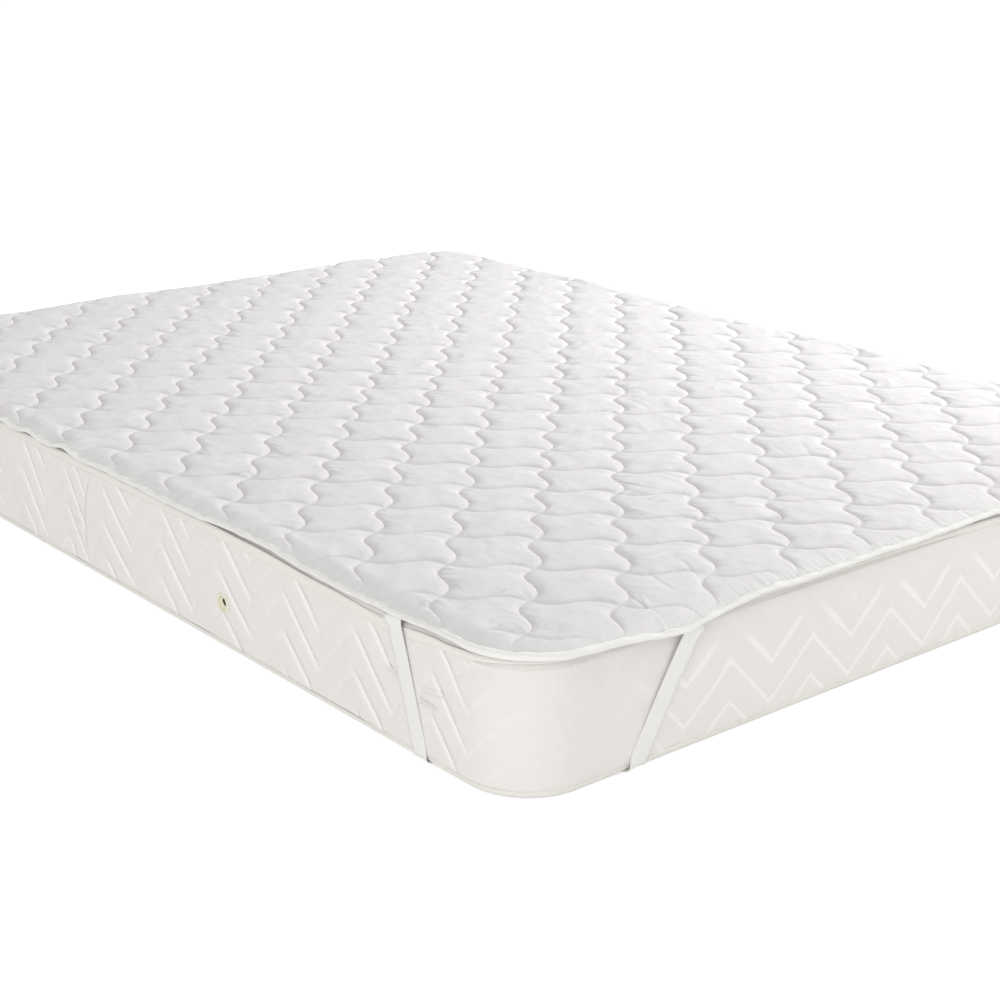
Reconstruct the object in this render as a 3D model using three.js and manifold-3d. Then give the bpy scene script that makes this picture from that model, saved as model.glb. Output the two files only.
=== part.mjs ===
import * as THREE from 'three';
import { mergeVertices } from 'three/addons/utils/BufferGeometryUtils.js';
import Module from 'manifold-3d';

// A quilted protector lying on a bed mattress, held by one elastic band across each corner.
// Millimetres. +X runs across the mattress, +Y along it and +Z up.
// The origin is in the middle of the underside, on the surface that the mattress rests on.

const wasm = await Module();
wasm.setup();

// Driving dimensions

const GAP = 0.3;

const MATTRESS = {
  halfWidth: 697,
  halfLength: 947,
  height: 175,
  cornerRadius: 86,
  edgeRadius: 16,
  bulge: 3,
  cornerSteps: 7,
  longParts: 3,
  shortParts: 2,
};

const TAPE = { reach: 4.7, halfHeight: 8, lowCentre: 11.5, highCentre: 157 };

const VENT = { radius: 14, bore: 9, depth: 4, lip: 1.8, bevel: 0.8, floor: -1, y: -340, z: 64, sides: 24 };

// The flat pad turns down over the mattress from this line outwards.
const BEND = { halfWidth: 682, halfLength: 932, cornerRadius: 72 };

// The pad's thickness in its stitched valleys, at its crowns and at its rim, how far in from the bend line
// its crowns start to thin, how far it reaches past that line, and how sharply it turns down there.
const PAD = { valley: 5, crown: 13, rim: 4.6, taper: 36, spare: 1.5, overhang: 24, curve: 1 / 50 };

// Diamonds, corner to corner, with the place of one crossing and the share of a diamond by which a stitch
// line sways. Each diamond has steps by steps faces. The slab they are cut from reaches span diamonds out
// and is depth deep.
const QUILT = {
  across: 143,
  along: 151,
  startX: -216.1,
  startY: -891.4,
  sway: 0.07,
  steps: 3,
  span: 30,
  depth: 60,
};

// Each band is sewn within one straight part of the rim.
const RIM = { cornerSteps: 7, longParts: 33, shortParts: 25 };

const BINDING = { width: 11, thickness: 6.4, chamfer: 1.8 };

const BAND = {
  width: 27,
  thickness: 1.2,
  seam: 10,
  seamDrop: 0.6,
  fall: 26,
  foot: 14,
  turn: 30,
  bottomSteps: 7,
  spare: 0.25,
  grooveSide: 1.5,
};

// Where a band is sewn, measured along each side from the mattress's corner, how far along the side its
// pull spreads, how much further it draws the rim out, and how much tighter it bends it.
const LONG_TUG = { along: 224, spread: 88, draw: 6, bend: 0.005 };
const SHORT_TUG = { along: 248, spread: 96, draw: 12, bend: 0.0157 };

// The rim's own unevenness: how far each wave moves it, and its lengths across and along.
const RIM_WAVES = [
  { sway: 1.5, across: 83, along: 59, start: 1 },
  { sway: 1.1, across: 41, along: -47, start: 0 },
];

// The rim stays flatter and shorter round a corner.
const CORNER_EASE = { reach: 118, draw: -5, bend: -0.017 };

// Places where the rim stands up off the mattress.
const LIFTS = [
  { x: -700, y: 235, reach: 42, rise: 6 },
  { x: -700, y: 150, reach: 60, rise: 3 },
  { x: -700, y: -420, reach: 190, rise: 4 },
  { x: -690, y: -860, reach: 75, rise: 4 },
  { x: -300, y: -950, reach: 55, rise: 3 },
  { x: 330, y: -950, reach: 90, rise: 3 },
  { x: 700, y: -250, reach: 120, rise: 4 },
  { x: 700, y: 480, reach: 80, rise: 5 },
  { x: -150, y: 950, reach: 110, rise: 4 },
  { x: 420, y: 950, reach: 60, rise: 3 },
];

// One row for each corner: its two signs, then where its band leaves the rim and where it turns under the
// mattress, both along the long side and along the short side, from the corner.
const CORNERS = [
  { name: 'front_left', sx: -1, sy: -1, longTop: 224, longFoot: 178, shortTop: 261, shortFoot: 180 },
  { name: 'front_right', sx: 1, sy: -1, longTop: 217, longFoot: 174, shortTop: 256, shortFoot: 186 },
  { name: 'back_right', sx: 1, sy: 1, longTop: 226, longFoot: 181, shortTop: 265, shortFoot: 178 },
  { name: 'back_left', sx: -1, sy: 1, longTop: 215, longFoot: 172, shortTop: 258, shortFoot: 183 },
];

const MATERIALS = {
  cotton: { color: 0xf1f1ef, roughness: 0.92, metalness: 0 },
  binding: { color: 0xf7f7f4, roughness: 0.85, metalness: 0 },
  elastic: { color: 0xf5f5f2, roughness: 0.8, metalness: 0 },
  ticking: { color: 0xebe8e1, roughness: 0.75, metalness: 0 },
  tape: { color: 0xe4e1d6, roughness: 0.8, metalness: 0 },
  plastic: { color: 0xe3dcc2, roughness: 0.45, metalness: 0 },
};

// Solids from rings and grids

function signedVolume(positions, indices) {
  let volume = 0;
  for (let k = 0; k < indices.length; k += 3) {
    const [a, b, c] = [0, 1, 2].map((m) => positions[indices[k + m]]);
    volume += a.dot(b.clone().cross(c));
  }
  return volume / 6;
}

function outward(positions, indices) {
  if (signedVolume(positions, indices) >= 0) return { positions, indices };
  const turned = [];
  for (let k = 0; k < indices.length; k += 3) turned.push(indices[k], indices[k + 2], indices[k + 1]);
  return { positions, indices: turned };
}

// Rings of equal length joined in order. The first and last are closed by a fan to their middle, or, where
// the rings make a loop, the last is joined to the first.
function loft(rings, closedLoop = false) {
  const count = rings[0].length;
  const positions = rings.flat();
  const indices = [];
  const pairs = closedLoop ? rings.length : rings.length - 1;
  for (let r = 0; r < pairs; r += 1) {
    const near = r * count;
    const far = ((r + 1) % rings.length) * count;
    for (let k = 0; k < count; k += 1) {
      const next = (k + 1) % count;
      indices.push(near + k, near + next, far + next, near + k, far + next, far + k);
    }
  }
  if (!closedLoop) {
    for (const [ring, turned] of [[0, true], [rings.length - 1, false]]) {
      const middle = new THREE.Vector3();
      rings[ring].forEach((point) => middle.add(point));
      positions.push(middle.divideScalar(count));
      for (let k = 0; k < count; k += 1) {
        const edge = [ring * count + k, ring * count + ((k + 1) % count)];
        if (turned) edge.reverse();
        indices.push(edge[0], edge[1], positions.length - 1);
      }
    }
  }
  return outward(positions, indices);
}

function toManifold({ positions, indices }) {
  return new wasm.Manifold(new wasm.Mesh({
    numProp: 3,
    vertProperties: new Float32Array(positions.flatMap((p) => [p.x, p.y, p.z])),
    triVerts: new Uint32Array(indices),
  }));
}

function fromManifold(solid) {
  const mesh = solid.getMesh();
  const positions = [];
  for (let k = 0; k < mesh.vertProperties.length; k += mesh.numProp) {
    positions.push(new THREE.Vector3(...mesh.vertProperties.slice(k, k + 3)));
  }
  return { positions, indices: Array.from(mesh.triVerts) };
}

function closedSolid(geometry) {
  const bare = geometry.clone();
  bare.deleteAttribute('normal');
  bare.deleteAttribute('uv');
  const merged = mergeVertices(bare, 0.001);
  const place = merged.getAttribute('position');
  const positions = [];
  for (let k = 0; k < place.count; k += 1) {
    positions.push(new THREE.Vector3().fromBufferAttribute(place, k));
  }
  return outward(positions, Array.from(merged.index.array));
}

function toMesh(name, solid, material) {
  const geometry = new THREE.BufferGeometry();
  const places = solid.positions.flatMap((p) => [p.x, p.y, p.z]);
  geometry.setAttribute('position', new THREE.Float32BufferAttribute(places, 3));
  geometry.setIndex(solid.indices);
  geometry.computeVertexNormals();
  const mesh = new THREE.Mesh(geometry, new THREE.MeshStandardMaterial(MATERIALS[material]));
  mesh.name = name;
  return mesh;
}

// Outlines

// Points round a rectangle with round corners, anticlockwise, each with its outward direction.
function outline({ halfWidth, halfLength, cornerRadius: radius }, { cornerSteps, longParts, shortParts }) {
  const stations = [];
  const signs = [[1, -1], [1, 1], [-1, 1], [-1, -1]];
  signs.forEach(([sx, sy], corner) => {
    const start = (corner - 1) * Math.PI / 2;
    const centre = new THREE.Vector2(sx * (halfWidth - radius), sy * (halfLength - radius));
    for (let k = 0; k <= cornerSteps; k += 1) {
      const angle = start + (k / cornerSteps) * Math.PI / 2;
      const out = new THREE.Vector2(Math.cos(angle), Math.sin(angle));
      stations.push({ at: centre.clone().addScaledVector(out, radius), out });
    }
    const straight = 2 * ((corner % 2 === 0 ? halfLength : halfWidth) - radius);
    const parts = corner % 2 === 0 ? longParts : shortParts;
    const { at: last, out } = stations[stations.length - 1];
    const ahead = new THREE.Vector2(-out.y, out.x);
    for (let k = 1; k < parts; k += 1) {
      stations.push({ at: last.clone().addScaledVector(ahead, straight * k / parts), out });
    }
  });
  return stations;
}

function ringAt(stations, distance, height) {
  return stations.map(({ at, out }, k) => {
    const reach = typeof distance === 'function' ? distance(k) : distance;
    return new THREE.Vector3(at.x + out.x * reach, at.y + out.y * reach, height);
  });
}

// The pad's rim

const tug = (distance, spread) => Math.exp(-Math.pow(Math.abs(distance) / spread, 1.4));

// How far the rim reaches past the bend line and how sharply it turns down there.
function rimAt(x, y) {
  const fromSide = MATTRESS.halfWidth + MATTRESS.bulge - Math.abs(x);
  const fromEnd = MATTRESS.halfLength + MATTRESS.bulge - Math.abs(y);
  const long = tug(fromEnd - LONG_TUG.along, LONG_TUG.spread);
  const short = tug(fromSide - SHORT_TUG.along, SHORT_TUG.spread);
  const corner = Math.exp(-(fromSide * fromSide + fromEnd * fromEnd) / CORNER_EASE.reach ** 2);
  let wave = 0;
  for (const { sway, across, along, start } of RIM_WAVES) {
    wave += sway * Math.sin(x / across + y / along + start);
  }
  return {
    reach: PAD.overhang + wave + LONG_TUG.draw * long + SHORT_TUG.draw * short + CORNER_EASE.draw * corner,
    curve: PAD.curve + LONG_TUG.bend * long + SHORT_TUG.bend * short + CORNER_EASE.bend * corner,
  };
}

// Distance past the bend line, the outward direction there and the nearest point of the line.
function pastBend(x, y) {
  const dx = Math.abs(x) - (BEND.halfWidth - BEND.cornerRadius);
  const dy = Math.abs(y) - (BEND.halfLength - BEND.cornerRadius);
  const out = new THREE.Vector2(dx > dy ? Math.sign(x) : 0, dx > dy ? 0 : Math.sign(y));
  let past = Math.max(dx, dy) - BEND.cornerRadius;
  if (dx > 0 && dy > 0) {
    out.set(Math.sign(x) * dx, Math.sign(y) * dy).normalize();
    past = Math.hypot(dx, dy) - BEND.cornerRadius;
  }
  return { past, out, line: new THREE.Vector2(x, y).addScaledVector(out, -past) };
}

// From the pad laid flat, with z measured up from its underside, to the pad as it lies on the mattress.
function drape(point) {
  const { past, out, line } = pastBend(point.x, point.y);
  const { curve } = rimAt(line.x + out.x * PAD.overhang, line.y + out.y * PAD.overhang);
  const placed = new THREE.Vector3(point.x, point.y, point.z);
  if (past > 0) {
    const angle = past * curve;
    const reach = Math.sin(angle) / curve + point.z * Math.sin(angle);
    const rise = (Math.cos(angle) - 1) / curve + point.z * Math.cos(angle);
    placed.set(line.x + out.x * reach, line.y + out.y * reach, rise);
  }
  const ramp = THREE.MathUtils.smoothstep(past, -PAD.taper, 4);
  for (const lift of LIFTS) {
    const far = ((line.x - lift.x) ** 2 + (line.y - lift.y) ** 2) / lift.reach ** 2;
    placed.z += lift.rise * ramp * Math.exp(-far);
  }
  placed.z += MATTRESS.height + GAP;
  return placed;
}

const rimStations = outline(BEND, RIM);
const rimReach = rimStations.map(({ at, out }) => {
  const edge = at.clone().addScaledVector(out, PAD.overhang);
  return rimAt(edge.x, edge.y).reach;
});

// A point of the binding as it lies, between the two stations of the rim nearest to a point beside it.
function onRim(beside, across, up) {
  const flat = new THREE.Vector2(beside.x, beside.y);
  let near = 0;
  let least = Infinity;
  rimStations.forEach(({ at }, k) => {
    const next = rimStations[(k + 1) % rimStations.length].at;
    const detour = at.distanceTo(flat) + next.distanceTo(flat) - at.distanceTo(next);
    if (detour < least) [near, least] = [k, detour];
  });
  const far = (near + 1) % rimStations.length;
  const [from, to] = [near, far].map((k) => ringAt(rimStations, rimReach[k] + across, up)[k]);
  const [start, end] = [from, to].map(drape);
  const { at, out } = rimStations[near];
  const straight = rimStations[far].at.clone().sub(at);
  const share = flat.sub(at).dot(straight) / straight.lengthSq();
  const { curve } = rimAt(at.x + out.x * PAD.overhang, at.y + out.y * PAD.overhang);
  return {
    at: start.clone().lerp(end, share),
    slope: end.clone().sub(start).normalize(),
    angle: (rimReach[near] + across) * curve,
  };
}

// The quilted pad

// A crossing of two stitch lines is at whole a and b; between crossings each line sways once.
function quiltPoint(a, b) {
  const s = a + QUILT.sway * Math.sin(2 * Math.PI * b);
  const t = b - QUILT.sway * Math.sin(2 * Math.PI * a);
  const puff = Math.sqrt(Math.abs(Math.sin(Math.PI * a) * Math.sin(Math.PI * b)));
  return new THREE.Vector3(
    QUILT.startX + (s - t) / 2 * QUILT.across,
    QUILT.startY + (s + t) / 2 * QUILT.along,
    PAD.valley + (PAD.crown - PAD.valley) * puff,
  );
}

// Every diamond that reaches the rim, as one sheet of raised cells over a flat floor far below.
function quiltedSlab() {
  const positions = [];
  const indices = [];
  const seen = new Map();
  const edges = new Map();
  const { steps, depth, span } = QUILT;
  const vertex = (row, column) => {
    const key = `${row},${column}`;
    if (!seen.has(key)) {
      seen.set(key, positions.length);
      const top = quiltPoint(row / steps, column / steps);
      positions.push(top, new THREE.Vector3(top.x, top.y, -depth));
    }
    return seen.get(key);
  };
  const triangle = (a, b, c) => {
    indices.push(a, b, c, a + 1, c + 1, b + 1);
    for (const [from, to] of [[a, b], [b, c], [c, a]]) {
      if (!edges.delete(`${to},${from}`)) edges.set(`${from},${to}`, [from, to]);
    }
  };
  for (let i = -span; i < span; i += 1) {
    for (let j = -span; j < span; j += 1) {
      const middle = quiltPoint(i + 0.5, j + 0.5);
      if (Math.abs(middle.x) > BEND.halfWidth + QUILT.across) continue;
      if (Math.abs(middle.y) > BEND.halfLength + QUILT.along) continue;
      for (let m = 0; m < steps; m += 1) {
        for (let n = 0; n < steps; n += 1) {
          const row = i * steps + m;
          const column = j * steps + n;
          const [a, b] = [vertex(row, column), vertex(row + 1, column)];
          const [c, d] = [vertex(row + 1, column + 1), vertex(row, column + 1)];
          if ((m < steps / 2) === (n < steps / 2)) {
            triangle(a, b, c);
            triangle(a, c, d);
          } else {
            triangle(a, b, d);
            triangle(b, c, d);
          }
        }
      }
    }
  }
  for (const [from, to] of edges.values()) indices.push(to, from, from + 1, to, from + 1, to + 1);
  return outward(positions, indices);
}

// The room that the pad fills when it is laid flat: thin at the rim, higher than its crowns inside.
function padRoom() {
  const edge = (share) => (k) => share * (rimReach[k] - BINDING.width - 2 * GAP);
  const over = PAD.crown + PAD.spare;
  const height = (share) => PAD.rim + (over - PAD.rim) * share;
  return loft([
    ringAt(rimStations, -PAD.taper, 0),
    ringAt(rimStations, 0, 0),
    ringAt(rimStations, edge(0.5), 0),
    ringAt(rimStations, edge(1), 0),
    ringAt(rimStations, edge(1), PAD.rim),
    ringAt(rimStations, edge(0.5), height(0.16)),
    ringAt(rimStations, 0, height(0.36)),
    ringAt(rimStations, -PAD.taper, over),
    ringAt(rimStations, -PAD.taper - PAD.spare, over + PAD.spare),
  ]);
}

function quiltedPad() {
  const flat = fromManifold(toManifold(quiltedSlab()).intersect(toManifold(padRoom())));
  return { positions: flat.positions.map(drape), indices: flat.indices };
}

// The tape round the rim, a flat loop with its corners taken off.
function edgeBinding() {
  const { width, thickness, chamfer } = BINDING;
  const low = (PAD.rim - thickness) / 2;
  const high = low + thickness;
  const section = [
    [-width, high - chamfer],
    [-width + chamfer, high],
    [-chamfer, high],
    [0, high - chamfer],
    [0, low + chamfer],
    [-chamfer, low],
    [-width + chamfer, low],
    [-width, low + chamfer],
  ];
  const rings = section.map(([across, up]) => (
    ringAt(rimStations, (k) => rimReach[k] + across, up).map(drape)
  ));
  return loft(rings, true);
}

// The elastic bands

// A band's middle line as points with the direction that its outer face looks. Down one side it is drawn
// tight over the two tapes, so it stands a little off the panel between them.
function bandSide(corner, long) {
  const side = long ? MATTRESS.halfWidth : MATTRESS.halfLength;
  const half = long ? MATTRESS.halfLength : MATTRESS.halfWidth;
  const [top, foot] = long ? [corner.longTop, corner.longFoot] : [corner.shortTop, corner.shortFoot];
  const clear = GAP + BAND.thickness / 2;
  const point = (out, along, height) => {
    const other = half + MATTRESS.bulge - along;
    return long
      ? new THREE.Vector3(corner.sx * out, corner.sy * other, height)
      : new THREE.Vector3(corner.sx * other, corner.sy * out, height);
  };
  const facing = (angle) => point(0, 0, 0).set(
    long ? corner.sx * Math.cos(angle) : 0,
    long ? 0 : corner.sy * Math.cos(angle),
    -Math.sin(angle),
  );
  const under = (PAD.rim - BINDING.thickness) / 2 - clear - BAND.seamDrop;
  const path = [-BAND.seam, -BAND.seam / 2, 0].map((across) => {
    const { at, slope, angle } = onRim(point(side, top, 0), across, under);
    return { at, face: facing(angle - Math.PI / 2), edge: slope };
  });
  const hang = side + GAP + TAPE.reach + clear;
  const rimPoint = path[path.length - 1].at;
  const rimOut = Math.abs(long ? rimPoint.x : rimPoint.y);
  const lean = (top - foot) / (rimPoint.z - TAPE.lowCentre);
  const along = (height) => foot + lean * (height - TAPE.lowCentre);
  for (const share of [0.35, 0.75]) {
    const height = rimPoint.z - BAND.fall * share;
    path.push({ at: point(rimOut + (hang - rimOut) * share, along(height), height), face: facing(0) });
  }
  for (const height of [rimPoint.z - 1.3 * BAND.fall, MATTRESS.height / 2, TAPE.lowCentre]) {
    path.push({ at: point(hang, along(height), height), face: facing(0) });
  }
  const radius = { out: TAPE.reach + clear + BAND.spare, down: TAPE.halfHeight + clear + 2 * BAND.spare };
  for (const angle of [15, 38, 62, 85].map(THREE.MathUtils.degToRad)) {
    const height = TAPE.lowCentre - radius.down * Math.sin(angle);
    path.push({
      at: point(side + GAP + radius.out * Math.cos(angle), along(height), height),
      face: facing(angle),
    });
  }
  path.push({
    at: point(side + MATTRESS.bulge - BAND.foot, foot - lean * BAND.foot, BAND.thickness / 2),
    face: facing(Math.PI / 2),
  });
  const inward = point(side - 1, foot - lean, 0).sub(point(side, foot, 0)).normalize();
  const edge = new THREE.Vector3(long ? 0 : 1, long ? 1 : 0, 0);
  path.slice(3).forEach((station) => { station.edge = edge; });
  return { path, inward };
}

function bandPath(corner) {
  const long = bandSide(corner, true);
  const short = bandSide(corner, false);
  const start = long.path[long.path.length - 1].at;
  const end = short.path[short.path.length - 1].at;
  const under = new THREE.CubicBezierCurve3(
    start,
    start.clone().addScaledVector(long.inward, BAND.turn),
    end.clone().addScaledVector(short.inward, BAND.turn),
    end,
  );
  const middle = under.getPoints(BAND.bottomSteps).slice(1, -1);
  const down = new THREE.Vector3(0, 0, -1);
  return [...long.path, ...middle.map((at) => ({ at, face: down })), ...short.path.reverse()];
}

// A flat strip along a path: four corners at each point, closed at both ends. Where it turns over an edge
// its corners lie in line with that edge, and elsewhere square to the path.
function strip(path, width, outside, inside) {
  const rings = path.map(({ at, face, edge }, k) => {
    const before = path[Math.max(k - 1, 0)].at;
    const after = path[Math.min(k + 1, path.length - 1)].at;
    const square = face.clone().cross(after.clone().sub(before)).normalize();
    const slant = edge ? edge.dot(square) : 1;
    const across = edge ? edge.clone().divideScalar(slant) : square;
    return [[-1, outside], [1, outside], [1, -inside], [-1, -inside]].map(([turn, depth]) => (
      at.clone().addScaledVector(across, turn * width / 2).addScaledVector(face, depth)
    ));
  });
  return loft(rings);
}

// The plain mattress

// The border panel bulges between the two tapes.
function panelEnds() {
  const clear = TAPE.halfHeight + 2;
  return [TAPE.lowCentre + clear, TAPE.highCentre - clear];
}

function mattressProfile() {
  const { height, edgeRadius, bulge } = MATTRESS;
  const rows = [];
  for (const angle of [0, 30, 60, 90].map(THREE.MathUtils.degToRad)) {
    rows.push([-edgeRadius * (1 - Math.sin(angle)), edgeRadius * (1 - Math.cos(angle))]);
  }
  const [low, high] = panelEnds();
  for (const share of [0, 0.25, 0.5, 0.75, 1]) {
    rows.push([bulge * Math.sin(Math.PI * share), low + (high - low) * share]);
  }
  for (const [inset, up] of rows.slice(0, 4).reverse()) rows.push([inset, height - up]);
  return rows;
}

function mattressBody() {
  const stations = outline(MATTRESS, MATTRESS);
  const body = loft(mattressProfile().map(([inset, up]) => ringAt(stations, inset, up)));
  let solid = toManifold(body);
  for (const corner of CORNERS) {
    const path = bandPath(corner).filter(({ at }) => at.z < TAPE.lowCentre);
    const groove = strip(path, BAND.width + 2 * BAND.grooveSide, BAND.thickness, BAND.thickness / 2 + GAP);
    solid = solid.subtract(toManifold(groove));
  }
  const inside = ventFace() + VENT.depth + GAP;
  const outside = ventFace() - VENT.radius;
  const radius = VENT.radius + GAP;
  const seat = new THREE.CylinderGeometry(radius, radius, inside - outside, VENT.sides);
  seat.rotateZ(Math.PI / 2);
  seat.translate((inside + outside) / 2, VENT.y, VENT.z);
  return fromManifold(solid.subtract(toManifold(closedSolid(seat))));
}

function edgeTape(centre) {
  const stations = outline(MATTRESS, MATTRESS);
  const section = [[0, 1], [0, -1], [0.62, -0.78], [1, -0.22], [1, 0.22], [0.62, 0.78]];
  const rings = section.map(([out, up]) => (
    ringAt(stations, GAP + out * TAPE.reach, centre + up * TAPE.halfHeight)
  ));
  return loft(rings, true);
}

function ventFace() {
  const [low, high] = panelEnds();
  return -(MATTRESS.halfWidth + MATTRESS.bulge * Math.sin(Math.PI * (VENT.z - low) / (high - low)));
}

function airVent() {
  const { radius, bore, depth, lip, bevel, floor, sides } = VENT;
  const profile = [
    [0, -depth],
    [radius, -depth],
    [radius, lip - bevel],
    [radius - 2 * bevel, lip],
    [bore + bevel, lip],
    [bore, lip - bevel],
    [bore, floor],
    [0, floor],
  ].map(([r, h]) => new THREE.Vector2(r, h));
  const geometry = new THREE.LatheGeometry(profile, sides);
  geometry.rotateZ(Math.PI / 2);
  geometry.translate(ventFace(), VENT.y, VENT.z);
  return closedSolid(geometry);
}

// The whole object

const object = new THREE.Group();
object.add(toMesh('mattress_body', mattressBody(), 'ticking'));
object.add(toMesh('mattress_top_tape', edgeTape(TAPE.highCentre), 'tape'));
object.add(toMesh('mattress_bottom_tape', edgeTape(TAPE.lowCentre), 'tape'));
object.add(toMesh('mattress_air_vent', airVent(), 'plastic'));
object.add(toMesh('quilted_pad', quiltedPad(), 'cotton'));
object.add(toMesh('edge_binding', edgeBinding(), 'binding'));
for (const corner of CORNERS) {
  const band = strip(bandPath(corner), BAND.width, BAND.thickness / 2, BAND.thickness / 2);
  object.add(toMesh(`corner_band_${corner.name}`, band, 'elastic'));
}

export default object;
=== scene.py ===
# %% [markdown]
# # A quilted mattress protector on its mattress
# The protector is a pad of brushed cotton over wadding, stitched in swaying diamonds, bound round its rim
# with tape and held by one flat elastic band across each corner. Under it lies the plain bed mattress that
# it fits. Each step below says what the real piece is, how it could be made, and why it is made this way.

import math

import bpy
import numpy as np
from mathutils import Matrix, Vector


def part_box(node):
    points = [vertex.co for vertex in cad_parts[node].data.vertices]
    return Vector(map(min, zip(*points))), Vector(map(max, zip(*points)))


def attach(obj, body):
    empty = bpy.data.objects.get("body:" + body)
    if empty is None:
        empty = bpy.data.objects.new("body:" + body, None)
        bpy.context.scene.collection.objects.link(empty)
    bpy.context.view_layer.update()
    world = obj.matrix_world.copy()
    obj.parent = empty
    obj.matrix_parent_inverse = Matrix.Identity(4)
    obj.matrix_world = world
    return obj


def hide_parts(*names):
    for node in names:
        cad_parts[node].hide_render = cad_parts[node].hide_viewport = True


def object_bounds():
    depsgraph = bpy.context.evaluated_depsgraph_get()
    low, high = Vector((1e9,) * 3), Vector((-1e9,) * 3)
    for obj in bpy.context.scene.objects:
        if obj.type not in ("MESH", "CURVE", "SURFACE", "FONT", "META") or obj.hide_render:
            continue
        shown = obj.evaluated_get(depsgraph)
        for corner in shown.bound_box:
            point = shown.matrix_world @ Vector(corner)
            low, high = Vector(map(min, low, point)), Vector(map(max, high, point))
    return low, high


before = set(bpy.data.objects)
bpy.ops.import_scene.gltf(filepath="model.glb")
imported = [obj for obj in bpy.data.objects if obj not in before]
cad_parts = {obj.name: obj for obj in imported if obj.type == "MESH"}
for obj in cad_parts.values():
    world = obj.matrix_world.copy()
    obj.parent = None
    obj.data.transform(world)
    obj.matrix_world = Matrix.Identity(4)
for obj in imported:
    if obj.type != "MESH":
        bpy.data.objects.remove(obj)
CAD_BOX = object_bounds()
MM = 0.001
print("packed nodes:", len(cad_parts))

# %% [markdown]
# ## Camera
# The photograph was taken from beyond the near corner with a short telephoto lens, looking down at the bed.
# A camera can be aimed at a target or set by angles. Here its place comes from matching the crossings of the
# quilting, which gives angles, so it is set by them.

# %% Place the camera
CAMERA_PLACE = Vector((-1.9215, -2.3774, 1.0006))
LOOK_AROUND, LOOK_DOWN, ROLL = (math.radians(degrees) for degrees in (39.886, 18.573, -0.3925))
LENS = {"lens": 68.05, "sensor_width": 36.0, "clip_start": 0.05, "clip_end": 200.0}

ahead = Vector((math.sin(LOOK_AROUND) * math.cos(LOOK_DOWN), math.cos(LOOK_AROUND) * math.cos(LOOK_DOWN),
                -math.sin(LOOK_DOWN)))
level = Vector((math.cos(LOOK_AROUND), -math.sin(LOOK_AROUND), 0))
right = Matrix.Rotation(ROLL, 3, ahead) @ level
up = right.cross(ahead)
camera = bpy.data.objects.new("camera", bpy.data.cameras.new("camera"))
for setting, value in LENS.items():
    setattr(camera.data, setting, value)
camera.matrix_world = Matrix.Translation(CAMERA_PLACE) @ Matrix((right, up, -ahead)).transposed().to_4x4()
bpy.context.scene.collection.objects.link(camera)
bpy.context.scene.camera = camera
print("camera at", tuple(round(value, 3) for value in camera.location))

# %% [markdown]
# ## Light and floor
# White cloth shows its quilting only where the light is uneven. A bright sky would light it evenly, so lamps
# are placed one by one. A broad one on the right rakes over the diamonds. A weak one stands on the left, a
# long strip near the floor lights only the two sides, and the rest is a white room. The floor glows for the
# camera, which keeps it white, and only a little for the cloth, so that light from below hides no relief.

# %% One helper for nodes and one for colours
def add_node(tree, kind, inputs=None, **settings):
    """Adds a node, sets its properties, and fills its inputs with values or with other nodes' outputs."""
    node = tree.nodes.new(kind)
    for name, value in settings.items():
        setattr(node, name, value)
    for key, value in (inputs or {}).items():
        if isinstance(value, bpy.types.NodeSocket):
            tree.links.new(value, node.inputs[key])
        else:
            node.inputs[key].default_value = value
    return node


def linear(colour):
    """An sRGB hex colour such as "#e8e8e5" as the linear RGBA that Blender's sockets take."""
    parts = [int(colour[k:k + 2], 16) / 255 for k in (1, 3, 5)]
    return tuple(c / 12.92 if c <= 0.04045 else ((c + 0.055) / 1.055) ** 2.4 for c in parts) + (1.0,)


# %% Lamps, room and floor
SOFTBOX = {"place": Vector((3.1, -0.85, 1.75)), "size": 2.0, "power": 106.0}
FRONT_LAMP = {"from_east": -152, "height": 40, "strength": 0.45, "spread": 20}
STRIP = {"place": Vector((-4.6, -3.2, 0.085)), "long": 3.4, "high": 0.15, "power": 43.0}
ROOM_BRIGHTNESS = 0.67
FLOOR_SIDE, FLOOR_DROP = 60.0, 0.5 * MM
FLOOR_GREY = "#e2e2e1"
FLOOR_GLOW = {"seen": 0.5, "unseen": 0.17}


def aim(lamp, place):
    lamp.location = place
    lamp.rotation_euler = place.to_track_quat("Z", "Y").to_euler()
    lamp.visible_camera = False
    bpy.context.scene.collection.objects.link(lamp)


softbox = bpy.data.lights.new("softbox_on_the_right", "AREA")
softbox.shape = "DISK"
softbox.size = SOFTBOX["size"]
softbox.energy = SOFTBOX["power"]
aim(bpy.data.objects.new(softbox.name, softbox), SOFTBOX["place"])

front_lamp = bpy.data.lights.new("front_lamp", "SUN")
front_lamp.energy = FRONT_LAMP["strength"]
front_lamp.angle = math.radians(FRONT_LAMP["spread"])
turn, rise = math.radians(FRONT_LAMP["from_east"]), math.radians(FRONT_LAMP["height"])
towards = Vector((math.cos(turn) * math.cos(rise), math.sin(turn) * math.cos(rise), math.sin(rise)))
aim(bpy.data.objects.new(front_lamp.name, front_lamp), towards * 4)

strip = bpy.data.lights.new("strip_near_the_floor", "AREA")
strip.shape = "RECTANGLE"
strip.size, strip.size_y = STRIP["long"], STRIP["high"]
strip.energy = STRIP["power"]
aim(bpy.data.objects.new(strip.name, strip), STRIP["place"])

world = bpy.data.worlds.new("white_room")
world.use_nodes = True
world.node_tree.nodes["Background"].inputs["Color"].default_value = linear("#ffffff")
world.node_tree.nodes["Background"].inputs["Strength"].default_value = ROOM_BRIGHTNESS
bpy.context.scene.world = world
bpy.context.scene.view_settings.view_transform = "Standard"

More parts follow.
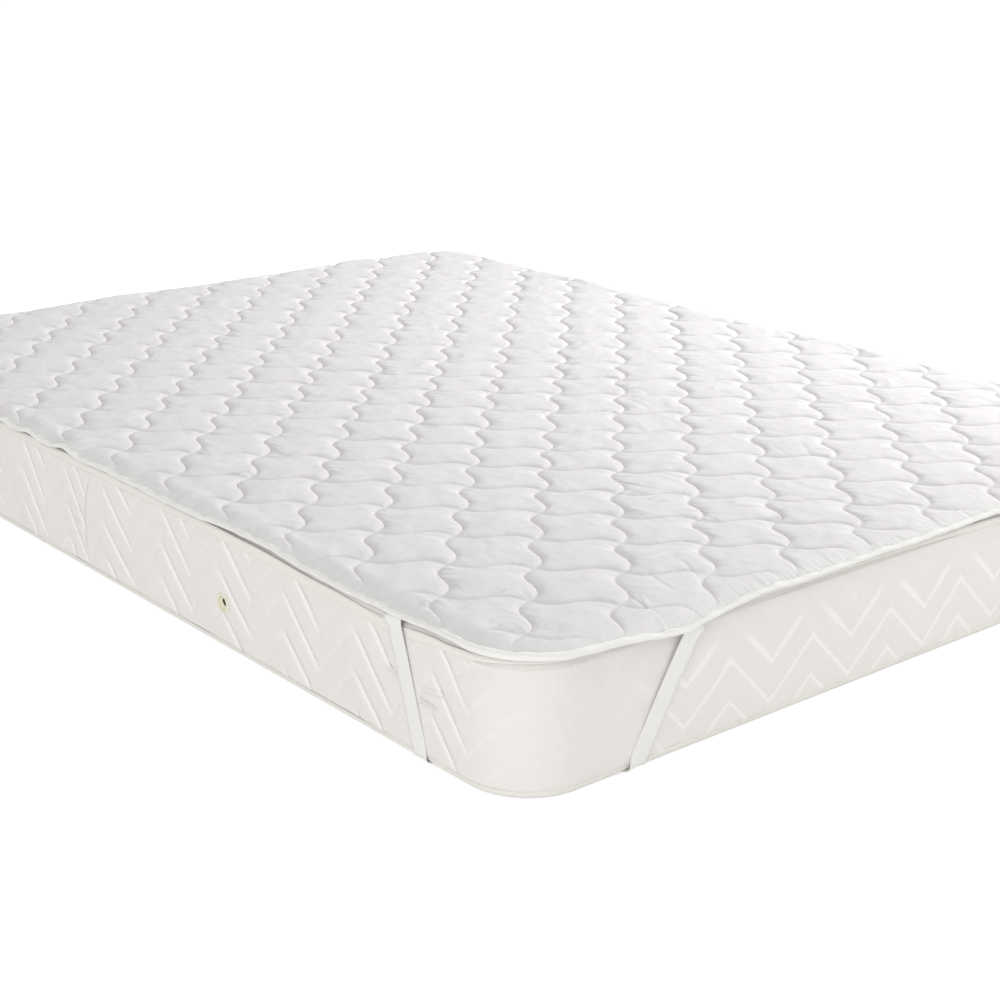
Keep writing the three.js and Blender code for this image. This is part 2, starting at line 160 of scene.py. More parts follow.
floor_mesh = bpy.data.meshes.new("floor")
half = FLOOR_SIDE / 2
floor_corners = [(-half, -half, 0), (half, -half, 0), (half, half, 0), (-half, half, 0)]
floor_mesh.from_pydata(floor_corners, [], [(0, 1, 2, 3)])
floor = bpy.data.objects.new("floor", floor_mesh)
floor.location.z = CAD_BOX[0].z - FLOOR_DROP
bpy.context.scene.collection.objects.link(floor)
paint = bpy.data.materials.new("backlit_white_floor")
paint.use_nodes = True
floor_shader = paint.node_tree.nodes["Principled BSDF"]
floor_finish = {"Base Color": linear(FLOOR_GREY), "Roughness": 0.9, "Emission Color": linear("#ffffff")}
for name, value in floor_finish.items():
    floor_shader.inputs[name].default_value = value
seen = add_node(paint.node_tree, "ShaderNodeLightPath").outputs["Is Camera Ray"]
glow = add_node(paint.node_tree, "ShaderNodeMapRange",
                {0: seen, 3: FLOOR_GLOW["unseen"], 4: FLOOR_GLOW["seen"]})
paint.node_tree.links.new(glow.outputs[0], floor_shader.inputs["Emission Strength"])
floor_mesh.materials.append(paint)
print("softbox", SOFTBOX["power"], "W, front lamp", FRONT_LAMP["strength"])

# %% [markdown]
# ## Shared shape of the bed
# The mattress and the pad are both rectangles with round corners. Curves could be drawn for each ring of
# cloth, tape or border. Instead one function walks round such a shape and every ring is a set of points
# beside that walk, so that the rings lie true to each other.

# %% Walk round a rectangle with round corners
BODY_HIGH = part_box("mattress_body")[1]
TOP = BODY_HIGH.z
BULGE, BEND_IN = 3 * MM, 18 * MM
SIDE = {"half_width": BODY_HIGH.x - BULGE, "half_length": BODY_HIGH.y - BULGE, "radius": 86 * MM}
BEND = {"half_width": BODY_HIGH.x - BEND_IN, "half_length": BODY_HIGH.y - BEND_IN, "radius": 72 * MM}
TURNS = math.pi * np.array([1.25, 1.5, 1.5, 2, 2, 2.5, 2.5, 3, 3, 3.25])


def knots(half_width, half_length, radius):
    """Distances from the middle of the near left corner to each end of each arc, going towards +X."""
    across, along = 2 * (half_width - radius), 2 * (half_length - radius)
    turn = radius * math.pi / 2
    return np.cumsum([0, turn / 2, across, turn, along, turn, across, turn, along, turn / 2])


def walk(distance, half_width, half_length, radius, base=None):
    """Places at these distances round the rectangle, and the outward direction at each. With a base, the
    distances are those of that other rectangle, so that its places and these lie side by side."""
    at = knots(**base) if base else knots(half_width, half_length, radius)
    middle_x = (half_width - radius) * np.array([-1, -1, 1, 1, 1, 1, -1, -1, -1, -1])
    middle_y = (half_length - radius) * np.array([-1, -1, -1, -1, 1, 1, 1, 1, -1, -1])
    angle = np.interp(distance, at, TURNS)
    out = np.stack([np.cos(angle), np.sin(angle)], -1)
    middle = np.stack([np.interp(distance, at, middle_x), np.interp(distance, at, middle_y)], -1)
    return middle + radius * out, out


def signed(distance, length):
    """Distance from the near left corner, below 0 along the left side."""
    return np.where(distance > length / 2, distance - length, distance)


def smooth_step(value, low, high):
    share = np.clip((value - low) / (high - low), 0, 1)
    return share * share * (3 - 2 * share)


def eased(place, table):
    """Values between the rows of a short table of (place, value), turning smoothly at each row."""
    places, values = np.array(table, float).T
    row = np.clip(np.searchsorted(places, place) - 1, 0, len(places) - 2)
    share = smooth_step(place, places[row], places[row + 1])
    return values[row] * (1 - share) + values[row + 1] * share


def ripple(distance, *waves):
    """Uneven sway along a distance: a sum of sines, each given as (height, length, start)."""
    return sum(height * np.sin(2 * math.pi * distance / length + start) for height, length, start in waves)


SIDE_LENGTH = knots(**SIDE)[-1]
RIM_LENGTH = knots(**BEND)[-1]
print(f"round the mattress {SIDE_LENGTH:.3f} m, round the pad's bend {RIM_LENGTH:.3f} m")

# %% [markdown]
# ## How the pad lies
# The pad is cut flat and turns down over the mattress's edge. Where a band is sewn its pull draws the rim
# out and down, the corners stay flatter, and in places the rim stands up a little. A cloth simulation would
# settle as it likes, so rules turn a point of the flat pad into a point of the pad as it lies.

# %% The drape
PAD = {"valley": 5 * MM, "crown": 10.6 * MM, "rim": 4.2 * MM, "overhang": 24 * MM, "curve": 13.0,
       "lift_from": 36 * MM, "lift_full": 4 * MM}
LONG_TUG = {"along": 224 * MM, "spread": 88 * MM, "draw": 2 * MM, "bend": 10.0}
SHORT_TUG = {"along": 248 * MM, "spread": 96 * MM, "draw": 12 * MM, "bend": 20.0}
CORNER_EASE = {"reach": 118 * MM, "draw": -1 * MM, "bend": 2.0}
RIM_WAVES = [(1.5 * MM, 0.083, 0.059, 1), (1.1 * MM, 0.041, -0.047, 0)]
GAP = 0.3 * MM
FLUTTER = [(0.25 * MM, 0.047, 0.4), (0.2 * MM, 0.031, 2.0), (0.5 * MM, 0.113, 1.1)]
LIFTS = [
    {"x": -0.700, "y": 0.289, "reach": 0.020, "rise": 7 * MM},
    {"x": -0.700, "y": 0.200, "reach": 0.024, "rise": 8 * MM},
    {"x": -0.700, "y": 0.086, "reach": 0.026, "rise": 10 * MM},
    {"x": -0.700, "y": -0.040, "reach": 0.030, "rise": 2 * MM},
    {"x": -0.700, "y": -0.420, "reach": 0.190, "rise": 4 * MM},
    {"x": -0.690, "y": -0.860, "reach": 0.075, "rise": 4 * MM},
    {"x": -0.300, "y": -0.950, "reach": 0.055, "rise": 3 * MM},
    {"x": 0.330, "y": -0.950, "reach": 0.090, "rise": 3 * MM},
    {"x": 0.700, "y": -0.250, "reach": 0.120, "rise": 4 * MM},
    {"x": 0.700, "y": 0.480, "reach": 0.080, "rise": 5 * MM},
    {"x": -0.150, "y": 0.950, "reach": 0.110, "rise": 4 * MM},
    {"x": 0.420, "y": 0.950, "reach": 0.060, "rise": 3 * MM},
]


def tug(distance, spread):
    return np.exp(-(np.abs(distance) / spread) ** 1.4)


def rim_at(x, y):
    """How far the rim reaches past the bend line beside this place, and how sharply it turns down."""
    from_side, from_end = BODY_HIGH.x - np.abs(x), BODY_HIGH.y - np.abs(y)
    long = tug(from_end - LONG_TUG["along"], LONG_TUG["spread"])
    short = tug(from_side - SHORT_TUG["along"], SHORT_TUG["spread"])
    corner = np.exp(-(from_side ** 2 + from_end ** 2) / CORNER_EASE["reach"] ** 2)
    wave = sum(high * np.sin(x / step_x + y / step_y + start) for high, step_x, step_y, start in RIM_WAVES)
    reach, curve = PAD["overhang"] + wave, PAD["curve"]
    for pull, rule in ((long, LONG_TUG), (short, SHORT_TUG), (corner, CORNER_EASE)):
        reach = reach + rule["draw"] * pull
        curve = curve + rule["bend"] * pull
    return reach, curve


def rim_beside(out_x, out_y, line_x, line_y):
    """The rim's reach and curve straight out from a place of the bend line."""
    return rim_at(line_x + out_x * PAD["overhang"], line_y + out_y * PAD["overhang"])


def past_bend(x, y):
    """Distance past the bend line, the outward direction there, and the nearest place of the line."""
    dx = np.abs(x) - (BEND["half_width"] - BEND["radius"])
    dy = np.abs(y) - (BEND["half_length"] - BEND["radius"])
    round_corner = (dx > 0) & (dy > 0)
    far = np.hypot(dx, dy)
    safe = np.where(round_corner, far, 1)
    out_x = np.where(round_corner, dx / safe, dx > dy) * np.sign(x)
    out_y = np.where(round_corner, dy / safe, dx <= dy) * np.sign(y)
    past = np.where(round_corner, far, np.maximum(dx, dy)) - BEND["radius"]
    return past, out_x, out_y, x - out_x * past, y - out_y * past


def along_bend(out_x, out_y, line_x, line_y):
    """Distance along the bend line of a place on it: the arcs turned through and the sides passed."""
    half_x, half_y = BEND["half_width"] - BEND["radius"], BEND["half_length"] - BEND["radius"]
    angle = np.arctan2(out_y, out_x)
    angle = np.where(angle < TURNS[0] - 2 * math.pi, angle + 2 * math.pi, angle)
    angle = np.where(angle < TURNS[0], angle + 2 * math.pi, angle)
    total = BEND["radius"] * (angle - TURNS[0])
    sides = ((1.5, 2 * half_x, line_x + half_x), (2, 2 * half_y, line_y + half_y),
             (2.5, 2 * half_x, half_x - line_x), (3, 2 * half_y, half_y - line_y))
    for turn, length, offset in sides:
        beyond = angle - turn * math.pi
        total = total + np.where(beyond > 1e-6, length, np.where(beyond < -1e-6, 0, offset))
    return total


def drape(x, y, up):
    """Places of the pad as it lies, from places on the flat pad and heights above its underside."""
    past, out_x, out_y, line_x, line_y = past_bend(x, y)
    curve = rim_beside(out_x, out_y, line_x, line_y)[1]
    angle = np.maximum(past, 0) * curve
    out = np.minimum(past, 0) + np.sin(angle) / curve + up * np.sin(angle)
    height = TOP + GAP + (np.cos(angle) - 1) / curve + up * np.cos(angle)
    ramp = smooth_step(past, -PAD["lift_from"], PAD["lift_full"])
    for lift in LIFTS:
        far = ((line_x - lift["x"]) ** 2 + (line_y - lift["y"]) ** 2) / lift["reach"] ** 2
        height = height + lift["rise"] * ramp * np.exp(-far)
    loose = smooth_step(past, 0, PAD["overhang"])
    height = height + loose * ripple(along_bend(out_x, out_y, line_x, line_y), *FLUTTER)
    return np.stack([line_x + out_x * out, line_y + out_y * out, height], -1)


# %% [markdown]
# ## Making meshes
# Blender can build a mesh step by step with its own operators, but cloth that follows rules is easier as
# arrays of points, turned into a mesh in one go. A piece rides on the only body and hides any plain solid
# that it stands for.

# %% Mesh helpers
def new_piece(name, points, faces, material, replaces=()):
    """A smooth mesh piece in the frame's own place, riding on the root body."""
    mesh = bpy.data.meshes.new(name)
    mesh.from_pydata(np.asarray(points).tolist(), [], [list(map(int, face)) for face in faces])
    mesh.materials.append(material)
    mesh.shade_smooth()
    piece = bpy.data.objects.new(name, mesh)
    bpy.context.scene.collection.objects.link(piece)
    return dress(piece, replaces)


def dress(piece, replaces=()):
    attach(piece, "root")
    if replaces:
        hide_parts(*replaces)
    triangles = sum(len(face.vertices) - 2 for face in piece.data.polygons)
    print(f"{piece.name}: {triangles} triangles")
    return piece


def grid_faces(rows, columns, wrap_rows=False, wrap_columns=False, start=0):
    """Quads between the points of a grid whose points are numbered row by row."""
    row = np.arange(rows if wrap_rows else rows - 1)
    column = np.arange(columns if wrap_columns else columns - 1)
    here_row, here_column = (part.ravel() for part in np.meshgrid(row, column, indexing="ij"))
    next_row, next_column = (here_row + 1) % rows, (here_column + 1) % columns
    corners = [here_row * columns + here_column, here_row * columns + next_column,
               next_row * columns + next_column, next_row * columns + here_column]
    return (np.stack(corners, -1) + start).tolist()


def store_uv(piece, name, per_point, round_trip=0):
    """Keeps two numbers for each point as a UV map, which cloth patterns in the materials follow. With a
    round trip, the first number is a distance round a ring of quads. It runs on past the ring's start."""
    layer = piece.data.uv_layers.new(name=name)
    index = np.zeros(len(piece.data.loops), np.int32)
    piece.data.loops.foreach_get("vertex_index", index)
    values = np.asarray(per_point, np.float32)[index]
    if round_trip:
        around = values[:, 0].reshape(-1, 4)
        behind = around.max(1, keepdims=True) - around > round_trip / 2
        values[:, 0] = (around + behind * round_trip).ravel()
    layer.data.foreach_set("uv", values.ravel())


def store_share(piece, name, per_point):
    """Keeps one number for each point as an attribute that a material can read."""
    attribute = piece.data.attributes.new(name, "FLOAT", "POINT")
    attribute.data.foreach_set("value", np.asarray(per_point, np.float32))


# %% [markdown]
# ## Cloth finishes
# The pad's face is brushed cotton and polyester, matt all over, with fine puckers that run out from the
# stitching. An image of cloth would repeat and blur up close. Here each finish is made of noise and waves
# that read the piece's own maps, so that puckers follow the quilting and ribs follow the tape. Only wrinkles
# finer than the mesh are left to bump.

# %% The repeat of the quilting
QUILT = {"across": 143 * MM, "along": 151 * MM, "start_x": -216.1 * MM, "start_y": -891.4 * MM,
         "sway_a": 0.085, "sway_b": 0.092}
CELL_WIDTH = 104 * MM
DRIFTS = [
    {"x": -0.22, "y": -0.92, "reach": 0.17, "move": (0.020, 0.015)},
    {"x": -0.40, "y": -0.83, "reach": 0.14, "move": (0.008, -0.005)},
    {"x": -0.47, "y": -0.60, "reach": 0.22, "move": (0.006, 0.009)},
    {"x": -0.10, "y": -0.29, "reach": 0.16, "move": (-0.016, -0.014)},
    {"x": 0.14, "y": 0.20, "reach": 0.33, "move": (-0.030, -0.036)},
    {"x": 0.55, "y": 0.30, "reach": 0.33, "move": (0.032, 0.040)},
]


def quilt_plan(a, b):
    """Place on the flat pad of a point given by its stitch-line numbers. The cloth was fed unevenly through
    the quilting machine, so here and there the repeat drifts."""
    s = a + QUILT["sway_a"] * np.sin(2 * math.pi * b)
    t = b - QUILT["sway_b"] * np.sin(2 * math.pi * a)
    x = QUILT["start_x"] + (s - t) / 2 * QUILT["across"]
    y = QUILT["start_y"] + (s + t) / 2 * QUILT["along"]
    near = [np.exp(-((x - drift["x"]) ** 2 + (y - drift["y"]) ** 2) / drift["reach"] ** 2)
            for drift in DRIFTS]
    for share, drift in zip(near, DRIFTS):
        x = x + share * drift["move"][0]
        y = y + share * drift["move"][1]
    return x, y


# %% Brushed cotton of the pad
def math_node(tree, operation, *values):
    """One step of arithmetic on numbers or sockets."""
    return add_node(tree, "ShaderNodeMath", dict(enumerate(values)), operation=operation).outputs[0]


def new_finish(name, colour, roughness, sheen):
    """A material with a Principled shader. Gives the material, its tree and the shader."""
    material = bpy.data.materials.new(name)
    material.use_nodes = True
    shader = material.node_tree.nodes["Principled BSDF"]
    shader.inputs["Base Color"].default_value = linear(colour)
    shader.inputs["Roughness"].default_value = roughness
    shader.inputs["Sheen Weight"].default_value = sheen
    shader.inputs["Sheen Roughness"].default_value = 0.5
    shader.inputs["Specular IOR Level"].default_value = 0.12
    return material, material.node_tree, shader


def bumps(tree, shader, *layers):
    """Stacks bump layers, each given as (height socket, depth in metres), from coarse to fine."""
    normal = {}
    for height, depth in layers:
        values = {"Height": height, "Strength": 1.0, "Distance": depth, **normal}
        layer = add_node(tree, "ShaderNodeBump", values)
        normal = {"Normal": layer.outputs[0]}
    tree.links.new(normal["Normal"], shader.inputs["Normal"])


def noise_node(tree, vector, scale, detail):
    values = {"Vector": vector, "Scale": scale, "Detail": detail}
    return add_node(tree, "ShaderNodeTexNoise", values).outputs[0]


def near_line(tree, number, reach):
    """1 on a stitch line, which lies at each whole number, and less with the distance from it."""
    wave = math_node(tree, "SINE", math_node(tree, "MULTIPLY", number, math.pi))
    share = math_node(tree, "ABSOLUTE", wave)
    return math_node(tree, "EXPONENT", math_node(tree, "MULTIPLY", share, -CELL_WIDTH / math.pi / reach))


STREAKS = {"turn": 1.0, "fan": 1.7, "bow_scale": 13.0, "bow": 0.7, "across": 6.0, "along": 1.5, "apart": 40,
           "layer": 9.0, "least": 0.25, "more": 0.9, "detail": 1.2}


def cell_streaks(tree, a, b):
    """Fine drag lines in each diamond. They run from one steep seam to the other and fan out a little, at an
    angle of each diamond's own."""
    inside = [math_node(tree, "SUBTRACT", math_node(tree, "FRACT", number), 0.5) for number in (a, b)]
    whole = dict(enumerate(math_node(tree, "FLOOR", number) for number in (a, b)))
    cell = add_node(tree, "ShaderNodeCombineXYZ", whole)
    chance = add_node(tree, "ShaderNodeTexWhiteNoise", {"Vector": cell.outputs[0]}, noise_dimensions="3D")
    turn, fan, other = add_node(tree, "ShaderNodeSeparateColor", {0: chance.outputs["Color"]}).outputs[:3]
    angle = math_node(tree, "MULTIPLY", math_node(tree, "SUBTRACT", turn, 0.5), STREAKS["turn"])
    flat = add_node(tree, "ShaderNodeCombineXYZ", dict(enumerate(inside)))
    turned = add_node(tree, "ShaderNodeVectorRotate", {"Vector": flat.outputs[0], "Angle": angle},
                      rotation_type="Z_AXIS")
    across, along, _ = add_node(tree, "ShaderNodeSeparateXYZ", {0: turned.outputs[0]}).outputs
    spread = math_node(tree, "MULTIPLY", math_node(tree, "SUBTRACT", fan, 0.5), STREAKS["fan"])
    spread = math_node(tree, "ADD", 1.0, math_node(tree, "MULTIPLY", spread, along))
    across = math_node(tree, "MULTIPLY", across, spread)
    on_cloth = add_node(tree, "ShaderNodeTexCoord").outputs["Object"]
    bow = noise_node(tree, on_cloth, STREAKS["bow_scale"], 1.0)
    across = math_node(tree, "ADD", across, math_node(tree, "MULTIPLY", bow, STREAKS["bow"]))
    shift = math_node(tree, "MULTIPLY", other, STREAKS["apart"])
    place = add_node(tree, "ShaderNodeCombineXYZ", {
        0: math_node(tree, "MULTIPLY_ADD", across, STREAKS["across"], shift),
        1: math_node(tree, "MULTIPLY", along, STREAKS["along"]),
        2: math_node(tree, "MULTIPLY", turn, STREAKS["layer"])})
    squared = math_node(tree, "MULTIPLY", other, other)
    strength = math_node(tree, "MULTIPLY_ADD", squared, STREAKS["more"], STREAKS["least"])
    return math_node(tree, "MULTIPLY", noise_node(tree, place.outputs[0], 1.0, STREAKS["detail"]), strength)


CREASES = [
    {"from": (-0.394, -0.830), "to": (-0.420, -0.915), "bow": -0.006, "width": 4.2 * MM, "depth": 1.1 * MM},
    {"from": (-0.462, -0.868), "to": (-0.478, -0.965), "bow": -0.010, "width": 2.5 * MM, "depth": 1.2 * MM},
    {"from": (-0.455, -0.885), "to": (-0.486, -0.970), "bow": -0.008, "width": 3.5 * MM, "depth": -0.8 * MM},
    {"from": (-0.340, -0.836), "to": (-0.362, -0.890), "bow": 0.0, "width": 3.5 * MM, "depth": 1.1 * MM},
    {"from": (-0.716, -0.757), "to": (-0.655, -0.745), "bow": 0.004, "width": 2.8 * MM, "depth": 0.8 * MM},
    {"from": (0.120, -0.232), "to": (0.103, -0.330), "bow": 0.004, "width": 5.6 * MM, "depth": 1.0 * MM},
    {"from": (0.060, -0.330), "to": (0.016, -0.412), "bow": 0.0, "width": 6.3 * MM, "depth": -0.7 * MM},
    {"from": (0.186, -0.200), "to": (0.166, -0.272), "bow": 0.0, "width": 5.6 * MM, "depth": 0.7 * MM},
    {"from": (0.010, -0.510), "to": (0.065, -0.504), "bow": 0.003, "width": 4.2 * MM, "depth": 0.7 * MM},
    {"from": (0.114, -0.566), "to": (0.094, -0.626), "bow": 0.0, "width": 4.9 * MM, "depth": 0.7 * MM},
    {"from": (0.160, -0.584), "to": (0.118, -0.648), "bow": 0.0, "width": 4.9 * MM, "depth": 0.8 * MM},
]
FADE = {"before": -0.05, "start": 0.2, "end": 0.3}


def dot_node(tree, place, way):
    """How far a place lies along a direction."""
    values = {0: place, 1: way}
    return add_node(tree, "ShaderNodeVectorMath", values, operation="DOT_PRODUCT").outputs["Value"]


def crease_node(tree, place, rule):
    """A soft crease from one place to another, finer than the mesh. It may bow and fades at its ends."""
    (x0, y0), (x1, y1) = rule["from"], rule["to"]
    length = math.hypot(x1 - x0, y1 - y0)
    ahead_x, ahead_y, width = (x1 - x0) / length, (y1 - y0) / length, rule["width"]
    start = add_node(tree, "ShaderNodeVectorMath", {0: place, 1: (x0, y0, 0)}, operation="SUBTRACT")
    ways = ((ahead_x / length, ahead_y / length, 0), (-ahead_y / width, ahead_x / width, 0))
    share, side = (dot_node(tree, start.outputs[0], way) for way in ways)
    rest = math_node(tree, "SUBTRACT", 1.0, share)
    bowed = math_node(tree, "MULTIPLY", math_node(tree, "MULTIPLY", share, rest), 4 * rule["bow"] / width)
    side = math_node(tree, "SUBTRACT", side, bowed)
    squared = math_node(tree, "MULTIPLY", side, side)
    depth = math_node(tree, "EXPONENT", math_node(tree, "MULTIPLY", squared, -1.0))
    for number, full in ((share, FADE["start"]), (rest, FADE["end"])):
        limits = {0: number, 1: FADE["before"], 2: full}
        end = add_node(tree, "ShaderNodeMapRange", limits, interpolation_type="SMOOTHSTEP")
        depth = math_node(tree, "MULTIPLY", depth, end.outputs[0])
    return math_node(tree, "MULTIPLY", depth, -rule["depth"])


def all_creases(tree, place, rules):
    """The height of several creases together."""
    total = 0.0
    for rule in rules:
        total = math_node(tree, "ADD", total, crease_node(tree, place, rule))
    return total


HELD = {"reach": 17 * MM, "more": 0.75, "least": 0.30}
GATHER_SCALE, WRINKLE_SCALE, SOFT_SCALE, BRUSHED_SCALE = 130.0, 19.0, 22.0, 600.0


def brushed_cotton():
    material, tree, shader = new_finish("brushed_cotton_over_wadding", "#e0dedd", 0.95, 0.0)
    shader.inputs["Specular IOR Level"].default_value = 0.03
    quilt = add_node(tree, "ShaderNodeUVMap", uv_map="quilt")
    a, b, _ = add_node(tree, "ShaderNodeSeparateXYZ", {0: quilt.outputs[0]}).outputs
    streaks = cell_streaks(tree, a, b)
    held = math_node(tree, "MULTIPLY_ADD", near_line(tree, b, HELD["reach"]), HELD["more"], HELD["least"])
    streaks = math_node(tree, "MULTIPLY", streaks, held)
    rim = add_node(tree, "ShaderNodeUVMap", uv_map="rim")
    along_rim, gather, _ = add_node(tree, "ShaderNodeSeparateXYZ", {0: rim.outputs[0]}).outputs
    fine = math_node(tree, "MULTIPLY", along_rim, GATHER_SCALE)
    gather_place = add_node(tree, "ShaderNodeCombineXYZ", {0: fine, 1: gather})
    gathers = math_node(tree, "MULTIPLY", noise_node(tree, gather_place.outputs[0], 1.0, 1.5), gather)
    place = add_node(tree, "ShaderNodeTexCoord").outputs["Object"]
    ridged = {"Vector": place, "Scale": WRINKLE_SCALE, "Detail": 2.0, "Distortion": 0.6}
    wrinkles = add_node(tree, "ShaderNodeTexNoise", ridged, noise_type="RIDGED_MULTIFRACTAL").outputs[0]
    bumps(tree, shader,
          (all_creases(tree, place, CREASES), 1.0),
          (noise_node(tree, place, SOFT_SCALE, 2.5), 5.0 * MM),
          (wrinkles, 2.6 * MM),
          (streaks, 7.0 * MM),
          (gathers, 4.8 * MM),
          (noise_node(tree, place, BRUSHED_SCALE, 1.0), 0.15 * MM))
    return material


COTTON = brushed_cotton()


# %% Tapes, elastic, thread and vent
TAPE_SCALE = 90.0


def ribbed_cloth(name, colour, roughness, sheen, rib, depth):
    """Cloth with fine ribs. Its UV map holds the distance across the ribs in metres."""
    material, tree, shader = new_finish(name, colour, roughness, sheen)
    weave = add_node(tree, "ShaderNodeUVMap", uv_map="weave")
    across = add_node(tree, "ShaderNodeSeparateXYZ", {0: weave.outputs[0]}).outputs[0]
    wave = math_node(tree, "SINE", math_node(tree, "MULTIPLY", across, 2 * math.pi / rib))
    place = add_node(tree, "ShaderNodeTexCoord").outputs["Object"]
    bumps(tree, shader, (noise_node(tree, place, TAPE_SCALE, 2.0), 0.8 * MM), (wave, depth))
    return material


BINDING_TAPE = ribbed_cloth("woven_cotton_binding_tape", "#f1f0ed", 0.85, 0.1, 1.6 * MM, 0.12 * MM)
ELASTIC = ribbed_cloth("knitted_elastic", "#efeeeb", 0.8, 0.1, 1.9 * MM, 0.14 * MM)
EDGE_TAPE = ribbed_cloth("ribbed_edge_tape", "#eceae4", 0.82, 0.0, 3.7 * MM, 0.2 * MM)
THREAD = new_finish("polyester_thread", "#d9d8d6", 0.7, 0.0)[0]
VENT_PLASTIC = new_finish("moulded_polypropylene", "#e9e5d2", 0.42, 0.0)[0]
# Painted shade: a dark finish that stands for the shaded inside of the vent's slots.
VENT_SHADE = new_finish("vent_slot_painted_shade", "#4a4636", 0.8, 0.0)[0]


# %% [markdown]
# ## Mattress ticking
# The mattress cover is a satin jacquard whose zigzags are woven paler than the ground and sewn down. An
# image could hold them, but it would have to be drawn to fit this border. Instead the shader reads the
# zigzag's own numbers, which the mesh carries. On the left side the falling arms are painted paler still and
# their pale band sits on the groove's lower wall: a painted highlight where the light falls. Each sewn groove
# has one steep wall that is finer than the mesh, so it is bump on top of the mesh's own groove, and so are
# the small creases beside the bands.

# %% Satin jacquard of the mattress border
ZIGZAG = {"left_rise": 80 * MM, "front_rise": 73 * MM, "apart": 54 * MM, "period": 153 * MM}
SLANT = math.cos(math.atan2(ZIGZAG["front_rise"], ZIGZAG["period"] / 2))
# The paler colour serves the woven zigzag and, on the left side's falling arms, a painted highlight.
TICKING_GROUND, TICKING_WOVEN_AND_HIGHLIGHT = "#e8e5e1", "#f5f3ef"
WOVEN_EDGE = {"full": 0.55, "none": 1.45}
UNEVEN_SCALE, YARN_SCALE = 32.0, 330.0
BORDER_CREASES = [
    {"from": (-0.9495, 0.160), "to": (-0.9675, 0.004), "bow": -0.012, "width": 4.0 * MM, "depth": 1.1 * MM},
    {"from": (-0.9425, 0.160), "to": (-0.9600, 0.004), "bow": -0.012, "width": 4.5 * MM, "depth": -0.9 * MM},
    {"from": (-1.020, 0.098), "to": (-0.976, 0.086), "bow": 0.002, "width": 3.0 * MM, "depth": 1.3 * MM},
    {"from": (-1.016, 0.072), "to": (-0.978, 0.068), "bow": 0.002, "width": 3.0 * MM, "depth": 1.3 * MM},
    {"from": (-1.010, 0.052), "to": (-0.980, 0.050), "bow": 0.0, "width": 2.6 * MM, "depth": 1.0 * MM},
    {"from": (-0.163, 0.078), "to": (-0.118, 0.076), "bow": 0.0, "width": 3.4 * MM, "depth": 2.6 * MM},
    {"from": (-0.159, 0.090), "to": (-0.100, 0.098), "bow": 0.002, "width": 4.0 * MM, "depth": 2.0 * MM},
    {"from": (-0.056, 0.096), "to": (-0.115, 0.104), "bow": 0.0, "width": 4.0 * MM, "depth": 1.0 * MM},
    {"from": (-0.100, 0.128), "to": (-0.010, 0.150), "bow": 0.004, "width": 4.0 * MM, "depth": 1.2 * MM},
    {"from": (-0.190, 0.086), "to": (-0.226, 0.098), "bow": -0.004, "width": 3.6 * MM, "depth": 2.4 * MM},
    {"from": (-0.176, 0.052), "to": (-0.206, 0.056), "bow": 0.002, "width": 3.6 * MM, "depth": 1.2 * MM},
]
# The pale band's drop below the zigzag line is a painted highlight on the groove's lit lower wall.
GROOVE = {"above": 2.0 * MM, "below": 5.5 * MM, "deep": 2.0 * MM, "highlight_below": 2.8 * MM}


def satin_jacquard():
    material, tree, shader = new_finish("satin_jacquard_ticking", "#e8e6e1", 0.75, 0.1)
    pattern = add_node(tree, "ShaderNodeUVMap", uv_map="zigzag")
    phase, row, _ = add_node(tree, "ShaderNodeSeparateXYZ", {0: pattern.outputs[0]}).outputs
    style = add_node(tree, "ShaderNodeUVMap", uv_map="zigzag_style")
    steepness, width, _ = add_node(tree, "ShaderNodeSeparateXYZ", {0: style.outputs[0]}).outputs
    climb = math_node(tree, "MULTIPLY", math_node(tree, "PINGPONG", phase, 0.5), steepness)
    lines = math_node(tree, "SUBTRACT", row, climb)
    above = math_node(tree, "SUBTRACT", lines, math_node(tree, "ROUND", lines))
    above = math_node(tree, "MULTIPLY", above, ZIGZAG["apart"] * SLANT)
    sewn = add_node(tree, "ShaderNodeAttribute", attribute_name="sewn_share").outputs["Fac"]
    # Painted highlight: where a groove is sewn in, the pale band is moved below its line, onto the groove's
    # lower wall, where the light falls.
    middle = math_node(tree, "MULTIPLY_ADD", sewn, GROOVE["highlight_below"], above)
    away = math_node(tree, "DIVIDE", math_node(tree, "ABSOLUTE", middle), width)
    slopes = [math_node(tree, "DIVIDE", math_node(tree, "MAXIMUM", side, 0.0), reach) for side, reach in (
        (above, -GROOVE["above"]), (math_node(tree, "MULTIPLY", above, -1.0), -GROOVE["below"]))]
    groove = math_node(tree, "MULTIPLY", math_node(tree, "EXPONENT", math_node(tree, "ADD", *slopes)), sewn)
    border = add_node(tree, "ShaderNodeUVMap", uv_map="border").outputs[0]
    limits = {0: away, 1: WOVEN_EDGE["full"], 2: WOVEN_EDGE["none"], 3: 1.0, 4: 0.0}
    band = add_node(tree, "ShaderNodeMapRange", limits, interpolation_type="SMOOTHSTEP")
    share = add_node(tree, "ShaderNodeAttribute", attribute_name="pattern_share").outputs["Fac"]
    # The pale band's share holds both the woven paleness and a painted highlight on the left side's falling
    # arms.
    woven = math_node(tree, "MULTIPLY", band.outputs[0], share)
    paints = {0: woven, 6: linear(TICKING_GROUND), 7: linear(TICKING_WOVEN_AND_HIGHLIGHT)}
    colour = add_node(tree, "ShaderNodeMix", paints, data_type="RGBA")
    tree.links.new(colour.outputs[2], shader.inputs["Base Color"])
    place = add_node(tree, "ShaderNodeTexCoord").outputs["Object"]
    bumps(tree, shader,
          (all_creases(tree, border, BORDER_CREASES), 1.0),
          (groove, -GROOVE["deep"]),
          (noise_node(tree, place, UNEVEN_SCALE, 4.0), 3.0 * MM),
          (noise_node(tree, place, YARN_SCALE, 2.0), 0.4 * MM))
    return material


TICKING = satin_jacquard()
print("finishes:", len(bpy.data.materials))

